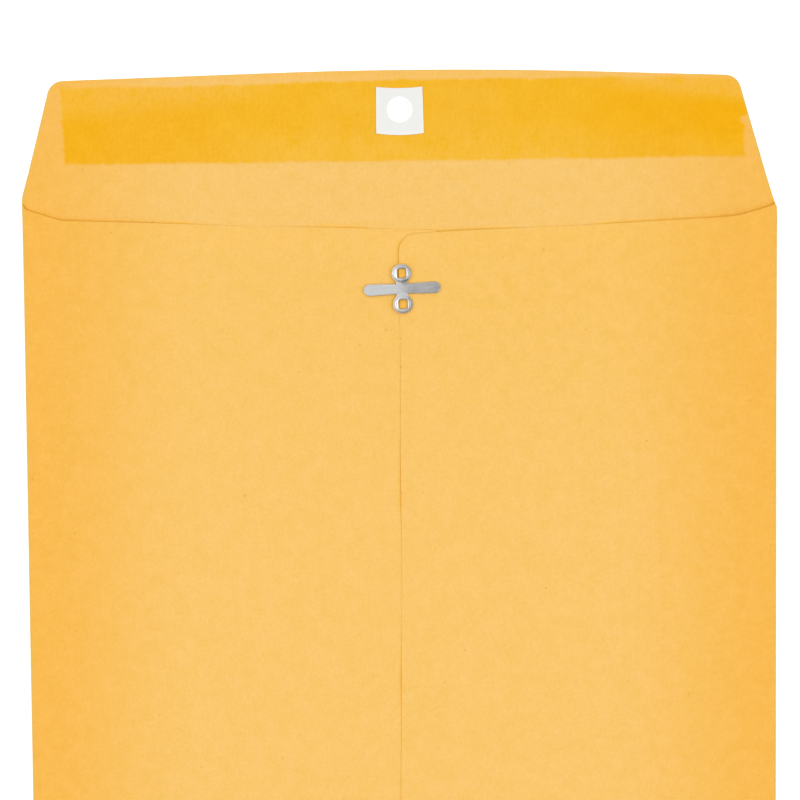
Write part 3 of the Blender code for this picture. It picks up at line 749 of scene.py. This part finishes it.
def back_kraft(scene):
    """Kraft of the back, with painted shade where it shows through the clasp's ears and round the clasp's
    middle.
    """
    paper, ears = scene.envelope_paper, scene.envelope_clasp.ear_spacing / 2
    clasp_shades = []
    # painted shade: deeper, warmer kraft in and round each ear's hole and round the clasp's middle
    for end, tone in ((-1, (1.06, 0.95, 0.66)), (0, (1.0, 0.92, 0.62)), (1, (1.02, 0.92, 0.6))):
        point = set_clasp(np.array((0, end * ears, RIGHT_TOP - CLASP_CENTRE.z)))
        clasp_shades.append((tuple(point), tone))
    # painted shade: the lower tone and the deeper upper one that the back drifts between towards the mouth
    lower, upper = (1.0, 1.005, 1.02), (0.99, 0.982, 0.86)
    return shared("back_kraft", kraft, paper.body, paper.margin, SEAM_GLOW, clasp_shades, lower, upper)


# Operators, one for each piece or group of like pieces


class FrontSheet(bpy.types.Operator):
    """Builds the front panel and the seal flap as one sheet across the score"""

    bl_idname = "clasp_envelope.front_sheet"
    bl_label = "Front sheet and flap"

    def execute(self, context):
        """Grid of columns across and rows up. On the flap, rows follow the top edge, scaled by height."""
        paper, flap = context.scene.envelope_paper, context.scene.envelope_flap
        hole, reach = flap.hole / 2 + 0.0001, 1.7
        peak = flap_top(HOLE_X)
        foot = BOTTOM_RADIUS - 2 * SCORE_Y
        beside, above = (hole_stops(centre, hole, reach) for centre in (HOLE_X, HOLE_H))
        stops = [foot, -0.0025, -0.0019, -SCORE_BAND, SCORE_BAND, 0.003, *above]
        rows = lines(stops, [30, 3, 3, 20, 3, 10, 5, 16, 5])
        rise = np.sin(quarter(18)[1:])
        rows = joined(rows, peak - (peak - above[-1]) * (1 - rise))
        columns = lines([-SIDE, -FIXED_X, *beside, FIXED_X, SIDE], [26, 14, 5, 16, 5, 14, 26])
        h, x = np.meshgrid(rows, columns, indexing="ij")
        left, right = flap_sides(h, flap.corner)
        stretch = np.where(x < 0, -left - FIXED_X, right - FIXED_X) / (SIDE - FIXED_X)
        x = np.where(np.abs(x) > FIXED_X, np.sign(x) * (FIXED_X + (np.abs(x) - FIXED_X) * stretch), x)
        x, h, cells = round_hole(x, h, (HOLE_X, HOLE_H), hole, reach)
        y = SCORE_Y + h * np.where(h > 0, flap_top(x) / peak, 1.0)
        z = flap_lift(x, y, flap.curl)
        beyond = x >= LEFT_HIDDEN_X - LEFT_CUT
        throat = np.where(beyond, right_throat(x, paper.right_throat), left_throat(x, paper.left_throat))
        # mark for the painted bounce light and shade on the front beside and under the panels' throat edge
        under = GLOW_REACH * ease(mouth_gap(x) / 0.0004) - (y - throat)
        inset = np.minimum(np.minimum(x - left, right - x), SCORE_Y + flap_top(x) - y + 0.0003)
        # mark for the painted grey shade along the flap's cut edge
        rim = np.clip(RIM - inset, 0, RIM) * ease((y - SCORE_Y) / 0.002)
        mesh = slab("front_sheet", stack(x, y, z + PAPER), stack(x, y, z), cells, under=under, rim=rim)
        finish = shared("flap_kraft", kraft, paper.pale, flap_shaded_margin(paper), MOUTH_GLOW)
        piece = add_piece(mesh, finish, ("front_panel", "seal_flap"))
        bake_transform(piece)
        return {"FINISHED"}


class BackPanels(bpy.types.Operator):
    """Builds each back panel with its side fold as one sheet"""

    bl_idname = "clasp_envelope.back_panels"
    bl_label = "Back panels and side folds"

    NEAR, FAR = 0.025, 0.13  # rows this far below the throat keep its shape, and the rest spread over this
    BESIDE = 0.03  # columns nearer the seam than this follow its edge
    LEFT_TUCK, RIGHT_TUCK = (0.00012, 0.001), (0.00038, 0.0016)  # how far a fold draws in, over what length
    SLACK_FROM, SLACK_WIDTH = 0.0165, 0.008  # from where, over what width, the right panel leans lower
    DIP_WIDTH = 0.0022  # strip of the right panel that dips to its free edge
    THIN, THIN_WIDTH = 0.00007, 0.0005  # how much that edge thins, and over what width
    ROWS = np.array([0, 0.2, 0.45, 0.8, 1.3, 2, 2.8, 3.8, 5, 6.5, 8, 10, 12.5, 16, 20]) / 1000

    def place_rows(self, throat, below):
        """Rows a set distance below the throat, then rows that go straight down to the panel's foot."""
        share_down = np.clip((below - self.NEAR) / self.FAR, 0, 1)
        spread = (throat - self.NEAR) * (1 - share_down) + PANEL_FOOT * share_down
        return np.where(below < self.NEAR, throat - below, spread)

    def left(self, paper):
        """Half a circle round the fold, then flat under the seam: a profile carried up to the throat.

        The hidden corner under the seam's top is cut back.
        """
        axis_x = -SIDE + LEFT_RADIUS
        flat = lines([axis_x, -0.1, -0.06, -0.012, LEFT_HIDDEN_X], [14, 14, 18, 25])[1:]
        x, z, inner, inner_z, outwards = folded(axis_x, LEFT_RADIUS, flat)
        below = joined(self.ROWS, np.linspace(self.NEAR, self.NEAR + self.FAR, 24))[::-1, None]
        cut = fall(LEFT_CUT, LEFT_CUT_DEPTH, below) * np.clip(1 + (x - LEFT_HIDDEN_X) / 0.02, 0, 1)
        throat = left_throat(np.where(np.arange(len(x)) <= HALF_FOLD, -SIDE, x - cut), paper.left_throat)
        x, inner = x - cut, inner - cut
        y = self.place_rows(throat, below)
        lean = mouth_lean(x, y, paper)
        fold = np.arange(x.shape[1]) < FOLD_POINTS
        press = 1 - np.where(fold, lean[:, FOLD_POINTS - 1 : FOLD_POINTS] / LEFT_TOP, 0.0)
        lean = np.where(fold, 0.0, lean)
        swell = (left_bulge(y - SCORE_Y) - fall(*self.LEFT_TUCK, below)) * outwards
        upper = stack(x + swell, y, z * press - lean)
        lower = stack(inner + swell, y, inner_z * press - lean)
        # mark for the painted bounce light and shade on the left panel beside the seam's edge, weaker towards
        # the right
        glow = GLOW_REACH * (1 - 0.8 * ease((x + 0.0005) / 0.0045))
        under = glow * ease((self.seam_lift(y) + 0.00006) / 0.0002) - self.beside_seam(x, y, paper)
        return slab("left_back", upper, lower, under=under)

    def seam(self, y):
        """Free edge of the right panel, from points (mm above the score, mm across)."""
        return through_mm(
            y - SCORE_Y, (-304, -0.6), (-240, -0.9), (-183, -1.19), (-168, -0.94), (-153, -0.76),
            (-146, -0.68), (-134, -0.65), (-124, -0.53), (-109, -0.42), (-99, -0.36), (-89, -0.42),
            (-77, -0.42), (-60, -0.34), (-50, -0.19), (-46, -0.12), (-41, -0.3), (-36, -0.42),
            (-17, -0.5), (0, -0.5),
        )

    def beside_seam(self, x, y, paper):
        """How far a point lies outside the right panel: from its seam, its throat or the arc between them."""
        top, side = right_throat(x, paper.right_throat), self.seam(y)
        across, up = side + paper.seam_corner - x, y - top + paper.seam_corner
        arc = np.hypot(across, up) - paper.seam_corner
        return np.where(up < 0, side - x, np.where(across < 0, y - top, arc))

    def seam_lift(self, y):
        """How far the free edge stands off the left panel, from points (mm above the score, mm off)."""
        return through_mm(
            y - SCORE_Y, (-304, 0.08), (-182, 0.1), (-178, 0.08), (-168, 0.05), (-163, 0.07), (-153, 0.14),
            (-148, 0.3), (-140, 0.1), (-134, 0.02), (-104, 0.02), (-99, 0.09), (-89, 0.24), (-80, 0.22),
            (-70, 0.04), (-60, 0.06), (-50, 0.04), (-46, 0.0), (-40, 0.01), (-30, 0.05), (-22, 0.3),
            (-14, 0.36), (-10.5, 0.25), (0, 0.1),
        )

    def right(self, paper):
        """Flat from the seam's edge, then half a circle round the fold.

        The seam's top corner is rounded, and the edge thins and dips towards the left panel where the two
        are glued.
        """
        axis_x = SIDE - RIGHT_RADIUS
        round_rows = paper.seam_corner * (1 - np.cos(quarter(15)))
        extra = self.ROWS[self.ROWS > paper.seam_corner * 1.05]
        spread = np.linspace(self.NEAR, self.NEAR + self.FAR, 40)
        below = joined(round_rows, extra, spread)[::-1, None]
        flat = lines([0, 0.0035, 0.012, self.BESIDE, 0.06, 0.1, axis_x], [14, 10, 8, 8, 14, 14])[:-1]
        mirrored = folded(-axis_x, RIGHT_RADIUS, -flat[::-1])
        x, z, inner, inner_z, outwards = (line[::-1] for line in mirrored)
        x, inner, outwards = -x, -inner, -outwards
        throat = right_throat(np.where(np.arange(x.size) >= x.size - HALF_FOLD, SIDE, x), paper.right_throat)
        y = self.place_rows(throat, below)
        radius = paper.seam_corner
        edge = self.seam(y) + radius - np.sqrt(np.maximum(radius**2 - np.maximum(radius - below, 0) ** 2, 0))
        moved = edge + x * (self.BESIDE - edge) / self.BESIDE
        x, inner = np.where(x < self.BESIDE, moved, x), np.where(inner < self.BESIDE, moved, inner)
        y = self.place_rows(np.where(x < self.BESIDE, right_throat(x, paper.right_throat), throat), below)
        step = RIGHT_TOP - LEFT_TOP
        lean = mouth_lean(x, y, paper, step * ease((x - self.SLACK_FROM) / self.SLACK_WIDTH))
        dip = fall(step - PAPER - CLEAR - self.seam_lift(y), self.DIP_WIDTH, x - edge)
        fold = np.arange(x.shape[1]) >= len(flat)
        press = 1 - np.where(fold, lean[:, len(flat) : len(flat) + 1] / RIGHT_TOP, 0.0)
        drop = np.where(fold, 0.0, lean + dip)
        swell = (right_bulge(y - SCORE_Y) - fall(*self.RIGHT_TUCK, below)) * outwards
        thinned = fall(self.THIN, self.THIN_WIDTH, x - edge)
        upper = stack(x + swell, y, z * press - drop - thinned)
        return slab("right_back", upper, stack(inner + swell, y, inner_z * press - drop))

    def execute(self, context):
        paper = context.scene.envelope_paper
        for side, mesh in (("left", self.left(paper)), ("right", self.right(paper))):
            nodes = (side + "_side_fold", side + "_back_panel")
            add_piece(mesh, back_kraft(context.scene), nodes, "pocket")
        return {"FINISHED"}


class BottomFlap(bpy.types.Operator):
    """Builds the bottom flap with its fold as one sheet"""

    bl_idname = "clasp_envelope.bottom_flap"
    bl_label = "Bottom flap and fold"

    PRESS, PRESS_WIDTH = 0.00008, 0.0038  # how far the free edge is pressed down, and over what width

    def execute(self, context):
        """Half a circle round the fold, then flat up the back.

        Sides lean in, corners are round and the free edge is pressed down onto the panels.
        """
        paper = context.scene.envelope_paper
        axis_y = -SCORE_Y + BOTTOM_RADIUS
        top = -SCORE_Y + paper.bottom_reach
        radius, foot, tip = 0.006, SIDE - 0.0015, SIDE - 0.009
        rise = np.sin(quarter(14)[1:])
        flat = joined(np.linspace(axis_y, top - radius, 16)[1:], top - radius * (1 - rise))
        y, z, inner, inner_z = (line[:, None] for line in folded(axis_y, BOTTOM_RADIUS, flat)[:4])
        lean = (foot - tip) / (top - axis_y)
        half = tip + lean * np.minimum(top - y, top - axis_y) - corner_arc(top - y, lean, radius)
        across = lines([-1, -0.9, -0.1, 0.1, 0.9, 1], [16, 20, 16, 20, 16])[None, :]
        x = across * half
        near = np.minimum(half - np.abs(x), top - y)
        room = np.where(x < -0.0005, RIGHT_TOP - LEFT_TOP, 0.0) * ease((np.abs(x) - 0.002) / 0.01)
        beyond = (np.arange(len(y)) > FOLD_POINTS + 3)[:, None]
        press = fall(self.PRESS + room * 0.9, self.PRESS_WIDTH, near) * beyond
        mesh = slab("bottom", stack(x, y, z - press), stack(x, inner, inner_z - press))
        nodes = ("bottom_fold", "bottom_flap")
        add_piece(mesh, back_kraft(context.scene), nodes, "pocket")
        return {"FINISHED"}


class SealGum(bpy.types.Operator):
    """Builds the band of dried gum on the flap"""

    bl_idname = "clasp_envelope.seal_gum"
    bl_label = "Seal gum"

    LOW, HIGH = 0.01107, 0.03678  # edges above the score, at the middle
    LEFT_END, RIGHT_END = -0.1019, 0.1054
    LEFT_LEAN = 0.0012  # how far the left end leans out towards the top
    RIGHT_X = 0.103  # where the right end's heights are read
    RUN_OUT = 0.0238  # height above which the right end follows the flap's side
    NOTCH, NOTCH_DEPTH = (0.0216, 0.0252), 0.0012  # heights where the right end is cut in, and how far
    SOFT = 0.0009  # width over which the notch opens and the film thins

    def edges(self, x):
        """Lower and upper edge above the score: gentle curves that rise to the right and waver a little."""
        part = x / 0.1
        lower = self.LOW + 0.00048 * part + 0.00014 * part**2 + waves(
            x, (0.00012, 0.037, 0.3), (0.00005, 0.0113, 0.3), (0.00004, 0.0047, 2.0), (0.00003, 0.0021, 1.0),
        )
        upper = through_mm(
            x, (-104, 35.2), (-60, 35.4), (-25, 36.25), (5, 36.85), (40, 36.95), (70, 37.15), (105, 36.5),
        )
        upper = upper + waves(
            x, (0.0001, 0.029, 1.3), (0.00005, 0.013, 1.3), (0.00004, 0.0052, 0.7), (0.00003, 0.0023, 2.6),
        )
        return lower, upper

    def execute(self, context):
        """Rows between a lower and an upper edge that waver a little, columns from the left end to the right.

        The right end stops straight and then follows the flap's side. The film thins to nothing at its rim.
        """
        flap = context.scene.envelope_flap
        hole, reach = flap.hole / 2 + 0.0005, 1.6
        low, high = self.LOW, self.HIGH
        rows = lines([low, *hole_stops(HOLE_H, hole, reach), high], [12, 5, 18, 5, 4])
        inside = lines(hole_stops(HOLE_X, hole, reach), [5, 18, 5])
        start, end = inside[0], inside[-1]
        shares = np.linspace(0, 1, 111)[1:]  # of the way from the hole's surroundings to each end
        columns = joined(start - shares[::-1], inside, end + shares)
        h, x = np.meshgrid(rows, columns, indexing="ij")
        share_up = (h - low) / (high - low)
        left = self.LEFT_END - self.LEFT_LEAN * share_up
        left = left + waves(h, (0.00012, 0.0067, 0.5), (0.00008, 0.0029, 1.0))
        lower, upper = self.edges(np.array(self.RIGHT_X))
        at_right = lower + share_up * (upper - lower)
        edge = flap_sides(at_right * flap_top(HOLE_X) / flap_top(self.RIGHT_X), flap.corner)[1] - 0.0003
        run_out = ease((at_right - self.RUN_OUT) / 0.0012)
        right = self.RIGHT_END * (1 - run_out) + edge * run_out + waves(h, (0.00006, 0.0051, 0.2))
        foot, top = self.NOTCH
        notch = ease((at_right - foot) / self.SOFT) * ease((top - at_right) / self.SOFT)
        right = np.minimum(right, edge) - self.NOTCH_DEPTH * notch
        x = np.where(x < start, start + (x - start) * (start - left), x)
        x = np.where(x > end, end + (x - end) * (right - end), x)
        x, h, cells = round_hole(x, h, (HOLE_X, HOLE_H), hole, reach)
        lower, upper = self.edges(x)
        up = (h - low) / (high - low) * (upper - lower)
        y = SCORE_Y + lower + up
        z = flap_lift(x, y, flap.curl) + PAPER
        ends = np.minimum(x - left, right - x + self.SOFT * run_out)
        inwards = np.minimum(np.minimum(up, upper - lower - up), ends)
        thick = FILM * ease(inwards / self.SOFT) - FILM_SUNK
        upper, lower = stack(x, y, z + thick), stack(x, y, z - FILM_ROOT)
        mesh = slab("seal_gum_film", upper, lower, cells, inwards=inwards)
        finish = gum_finish(flap, context.scene.envelope_paper)
        add_piece(mesh, finish, ("seal_gum",), "flap")
        return {"FINISHED"}


class FlapPatch(bpy.types.Operator):
    """Builds the white reinforcing patch round the flap's hole"""

    bl_idname = "clasp_envelope.flap_patch"
    bl_label = "Flap patch"

    SAG, SAG_TAPER = 0.000475, 0.000065  # sag of its edges at the middle, and how much less the top one has
    LEAN = 0.000075  # how far its top leans to the left
    NARROW, TAPER = 0.0065, 0.0145  # shares by which it is narrower, everywhere and towards the top
    SHORT, DROP = 0.0231, 0.00018  # share by which it is shorter, and how far its edges lie lower
    CORNER_LIFT = 0.00008

    def execute(self, context):
        """Square grid round the hole whose top and bottom edges sag towards the score: sag times 1 - u^2."""
        flap = context.scene.envelope_flap
        hole, half = flap.hole / 2, flap.patch_side / 2
        steps = lines([-half, -hole, hole, half], [8, 18, 8])
        up, across = np.meshgrid(steps, steps, indexing="ij")
        across, up, cells = round_hole(across, up, (0, 0), hole, half / hole)
        share_up = up / half
        away = ease((np.maximum(np.abs(across), np.abs(up)) - hole) / (half - hole))
        sag = self.SAG - self.SAG_TAPER * share_up
        narrow = self.NARROW + self.TAPER * share_up
        x = HOLE_X - self.LEAN * share_up * away + across * (1 - narrow * away)
        y = SCORE_Y + HOLE_H + up * (1 - self.SHORT * away)
        y = y - (self.DROP + sag * (1 - (across / half) ** 2)) * away
        corner = ease((np.hypot(across, up) / half - 1) / 0.4)
        z = flap_lift(x, y, flap.curl) + PAPER + PATCH_GAP + self.CORNER_LIFT * corner
        mesh = slab("flap_patch_paper", stack(x, y, z + PATCH_PAPER), stack(x, y, z), cells)
        add_piece(mesh, patch_finish(flap), ("flap_patch",), "flap")
        return {"FINISHED"}


class Glue(bpy.types.Operator):
    """Gives the glue of the seam and of the bottom flap its finish"""

    bl_idname = "clasp_envelope.glue"
    bl_label = "Glue"

    def execute(self, context):
        finish = glue_finish()
        for name in ("seam_glue", "bottom_flap_glue"):
            for entry in frame["nodes"][name].material_slots:
                entry.material = finish
        return {"FINISHED"}


def set_clasp(points):
    """Turns points of the clasp's own frame onto the envelope."""
    turn = np.array(Matrix.Rotation(CLASP_ANGLE - CLASP_TURN, 3, "Z"))
    return points @ turn.T + np.array(CLASP_CENTRE) + CLASP_SHIFT


class ClaspEars(bpy.types.Operator):
    """Builds the two pressed ears of the clasp, each with its half of the neck"""

    bl_idname = "clasp_envelope.clasp_ears"
    bl_label = "Clasp ears"

    def ear(self, name, clasp, towards):
        """A line from the ear's outline in to its square hole, carried once round the hole.

        The outline is a circle joined to the neck by a rounded crossing. The line runs flat, rises over the
        bead by half a cosine and rolls down into the hole by a quarter of a squarish ellipse, and the strip's
        thickness is set off along its normal.
        """
        turn = np.linspace(0, 2 * math.pi, 160, endpoint=False)[:, None]
        rim, half = clasp.ear / 2, clasp.sheet / 2
        sine, cosine = np.abs(np.sin(turn)) + 1e-9, np.cos(turn)
        neck = np.minimum(clasp.neck / 2 / sine, clasp.ear_spacing / 2 / np.maximum(cosine, 1e-3))
        outer = soft_max(rim * (1 - 0.05 * cosine**2), neck * ease(cosine * 4), 0.0005)
        hole = clasp.hole / 2 + half
        wall = hole / (np.abs(np.cos(turn)) ** 6 + np.abs(np.sin(turn)) ** 6) ** (1 / 6)
        flange = rim * 0.95 - 0.00008
        crest = (flange + hole) / 2 + 0.0001
        flat, climb, descent = np.linspace(0, 1, 9)[:-1], np.linspace(0, 1, 13), quarter(12)[1:]
        reach = np.concatenate((
            outer + (flange - outer) * flat,
            flange + (crest - flange) * climb + 0 * outer,
            crest + (wall - crest) * np.sin(descent) ** 0.75,
        ), axis=1)
        height = np.broadcast_to(joined(
            0 * flat,
            clasp.bead * (1 - np.cos(math.pi * climb)) / 2,
            clasp.bead - (clasp.bead + clasp.roll) * (1 - np.maximum(np.cos(descent), 0) ** 0.75),
        ), reach.shape)
        out, up = np.gradient(reach, axis=1), np.gradient(height, axis=1)
        size = np.hypot(out, up)
        last = reach.shape[1] - 1
        thick = half * np.interp(np.arange(last + 1), [0, 1, 2, last - 1, last], [0.55, 0.9, 1, 1, 0.6])
        out, up = thick * up / size, -thick * out / size
        reach = np.concatenate((reach + out, (reach - out)[:, ::-1]), axis=1)
        height = np.concatenate((height + up, (height - up)[:, ::-1]), axis=1)
        x = reach * np.sin(turn)
        y = -towards * clasp.ear_spacing / 2 + towards * reach * np.cos(turn)
        return tube(name, set_clasp(stack(x, y, height)), closed=True, sharp=50)

    def execute(self, context):
        clasp = context.scene.envelope_clasp
        finish = shared("clasp_steel", steel_finish, clasp)
        for name, towards in (("upper_ear", -1), ("lower_ear", 1)):
            mesh = self.ear(name, clasp, towards)
            add_piece(mesh, finish, ("clasp_base",), "pocket")
        return {"FINISHED"}


class ClaspProngs(bpy.types.Operator):
    """Builds the two prongs of the clasp, each with a band of close rows at its root"""

    bl_idname = "clasp_envelope.clasp_prongs"
    bl_label = "Clasp prongs"

    LIFT = 0.00002  # the prongs above the ears' middle plane
    BOW = {-1: -0.00003, 1: 0.00006}  # how far the left and the right prong bow up

    def prong(self, name, clasp, side):
        """A rounded section carried from the clasp's centre to a round tip, widening on the way.

        Half width: a straight taper, then a circle at the tip. The middle line bows by a part of the sheet.
        """
        half, tip = clasp.sheet / 2, clasp.prong_tip / 2
        end = clasp.span / 2
        run = lines([0, PRONG_ROOT - PRONG_BAND, PRONG_ROOT + PRONG_BAND, end - tip], [5, 12, 22])
        swing = np.radians(np.linspace(0, 88, 16))[1:]
        x = joined(run, end - tip + tip * np.sin(swing))
        root = clasp.prong_root / 2
        taper = root + (tip - root) * np.clip((run - PRONG_ROOT) / (end - tip - PRONG_ROOT), 0, 1)
        wide = joined(taper, tip * np.cos(swing))
        edge = np.minimum(half * 0.9, wide * 0.8)
        corner = quarter(4)
        middle = np.linspace(1, -1, 9)[1:-1]
        ys = joined(np.ones(5), middle, -np.ones(5))
        bend_y = joined(np.cos(corner), 0 * middle, -np.cos(corner)[::-1])
        bend_z = joined(np.sin(corner), 0 * middle + 1, np.sin(corner)[::-1])
        above = ys, bend_y, np.ones(ys.size), bend_z  # the lower half is this one turned half round
        ys, bend_y, zs, bend_z = (joined(part, -part) for part in above)
        y = (wide - edge)[:, None] * ys + edge[:, None] * bend_y
        z = (half - edge)[:, None] * zs + edge[:, None] * bend_z + self.LIFT
        bow = np.sin(np.clip((x - PRONG_ROOT) / (end - PRONG_ROOT), 0, 1) * math.pi)
        z = z + (self.BOW[side] * bow)[:, None]
        return tube(name, set_clasp(stack(side * x[:, None], y, z)), closed=False)

    def execute(self, context):
        clasp = context.scene.envelope_clasp
        finish = shared("clasp_steel", steel_finish, clasp)
        for name, side, root in (("left", -1, LEFT_ROOT), ("right", 1, RIGHT_ROOT)):
            mesh = self.prong(name + "_prong_strip", clasp, side)
            piece = add_piece(mesh, finish, ("clasp_" + name + "_prong",))
            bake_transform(piece)
        return {"FINISHED"}


class Stage(bpy.types.Operator):
    """Sets the floor, the light and the camera"""

    bl_idname = "clasp_envelope.stage"
    bl_label = "Stage"

    def softbox(self, name, place, power, size):
        """A square area light aimed at the upper half of the envelope."""
        light = bpy.data.lights.new(name, "AREA")
        light.energy, light.shape, light.size = power, "SQUARE", size
        lamp = bpy.data.objects.new(name, light)
        aim = Vector((0, 0.06, 0)) - Vector(place)
        lamp.matrix_world = Matrix.Translation(place) @ aim.to_track_quat("-Z", "Y").to_matrix().to_4x4()
        bpy.context.scene.collection.objects.link(lamp)

    def floor(self, stage):
        """A flat square of quads just under the envelope."""
        span = np.linspace(-6, 6, 13)
        y, x = np.meshgrid(span, span, indexing="ij")
        mesh = bpy.data.meshes.new("floor")
        quads = grid_quads(np.arange(x.size).reshape(x.shape)).reshape(-1, 4)
        mesh.from_pydata(stack(x, y, FLOOR_Z).reshape(-1, 3).tolist(), [], quads.tolist())
        made, shader, place = new_material("floor_paper")
        tone = place.noise(3.0, 2.0)
        feed(shader, {
            "Base Color": tone.mix(stage.floor, scaled(stage.floor, 1.02)),
            "Roughness": 0.9,
            "Emission Color": (1.0, 1.0, 1.0, 1.0),
            "Emission Strength": 0.25,
        })
        mesh.materials.append(made)
        floor = bpy.data.objects.new("floor", mesh)
        bpy.context.scene.collection.objects.link(floor)

    def studio(self, scene, strength):
        """Even light all round, brighter beyond the flap and dimmer beyond the bottom."""
        scene.world = bpy.data.worlds.new("studio")
        scene.world.use_nodes = True
        tree = scene.world.node_tree
        way = Wire(tree, tree.nodes.new("ShaderNodeTexCoord").outputs["Generated"])
        shade = way.along("Y").rise(-0.9, 0.9).mix((0.5, 0.5, 0.5), (1.05, 1.05, 1.05))
        sky = tree.nodes["Background"]
        feed(sky, {"Color": shade, "Strength": strength})

    def execute(self, context):
        scene, stage = context.scene, context.scene.envelope_stage
        self.floor(stage)
        self.softbox("left_softbox", (-0.95, 0.05, 0.95), stage.left_light, 1.4)
        self.softbox("right_softbox", (0.95, 0.0, 0.95), stage.right_light, 1.6)
        self.studio(scene, stage.sky)
        tilt, yaw, roll = stage.aim
        aim = Matrix.Rotation(yaw, 4, "Y") @ Matrix.Rotation(tilt, 4, "X") @ Matrix.Rotation(roll, 4, "Z")
        eye = bpy.data.cameras.new("camera")
        eye.lens, eye.sensor_width, eye.clip_start = stage.lens, 36.0, 0.01
        camera = bpy.data.objects.new("camera", eye)
        camera.matrix_world = Matrix.Translation(stage.place) @ aim
        scene.collection.objects.link(camera)
        scene.camera = camera
        scene.view_settings.view_transform = "Standard"
        return {"FINISHED"}


SETTINGS = {
    "envelope_paper": PaperSettings,
    "envelope_flap": FlapSettings,
    "envelope_clasp": ClaspSettings,
    "envelope_stage": StageSettings,
}
OPERATORS = (FrontSheet, BackPanels, BottomFlap, SealGum, FlapPatch, Glue, ClaspEars, ClaspProngs, Stage)


class EnvelopePanel(bpy.types.Panel):
    """Lists the settings and the operators of the clasp envelope"""

    bl_idname = "VIEW3D_PT_clasp_envelope"
    bl_label = "Clasp envelope"
    bl_space_type = "VIEW_3D"
    bl_region_type = "UI"
    bl_category = "Clasp envelope"

    def draw(self, context):
        for name, group in SETTINGS.items():
            box = self.layout.box()
            for entry in group.__annotations__:
                box.prop(getattr(context.scene, name), entry)
        for operator in OPERATORS:
            self.layout.operator(operator.bl_idname)


def register():
    for made in (*SETTINGS.values(), *OPERATORS, EnvelopePanel):
        bpy.utils.register_class(made)
    for name, group in SETTINGS.items():
        setattr(bpy.types.Scene, name, PointerProperty(type=group))


def unregister():
    for name in SETTINGS:
        delattr(bpy.types.Scene, name)
    for made in (EnvelopePanel, *reversed(OPERATORS), *SETTINGS.values()):
        bpy.utils.unregister_class(made)


def main():
    register()
    steps = bpy.ops.clasp_envelope
    steps.front_sheet()
    steps.back_panels()
    steps.bottom_flap()
    steps.seal_gum()
    steps.flap_patch()
    steps.glue()
    steps.clasp_ears()
    steps.clasp_prongs()
    steps.stage()


if __name__ == "__main__":
    main()
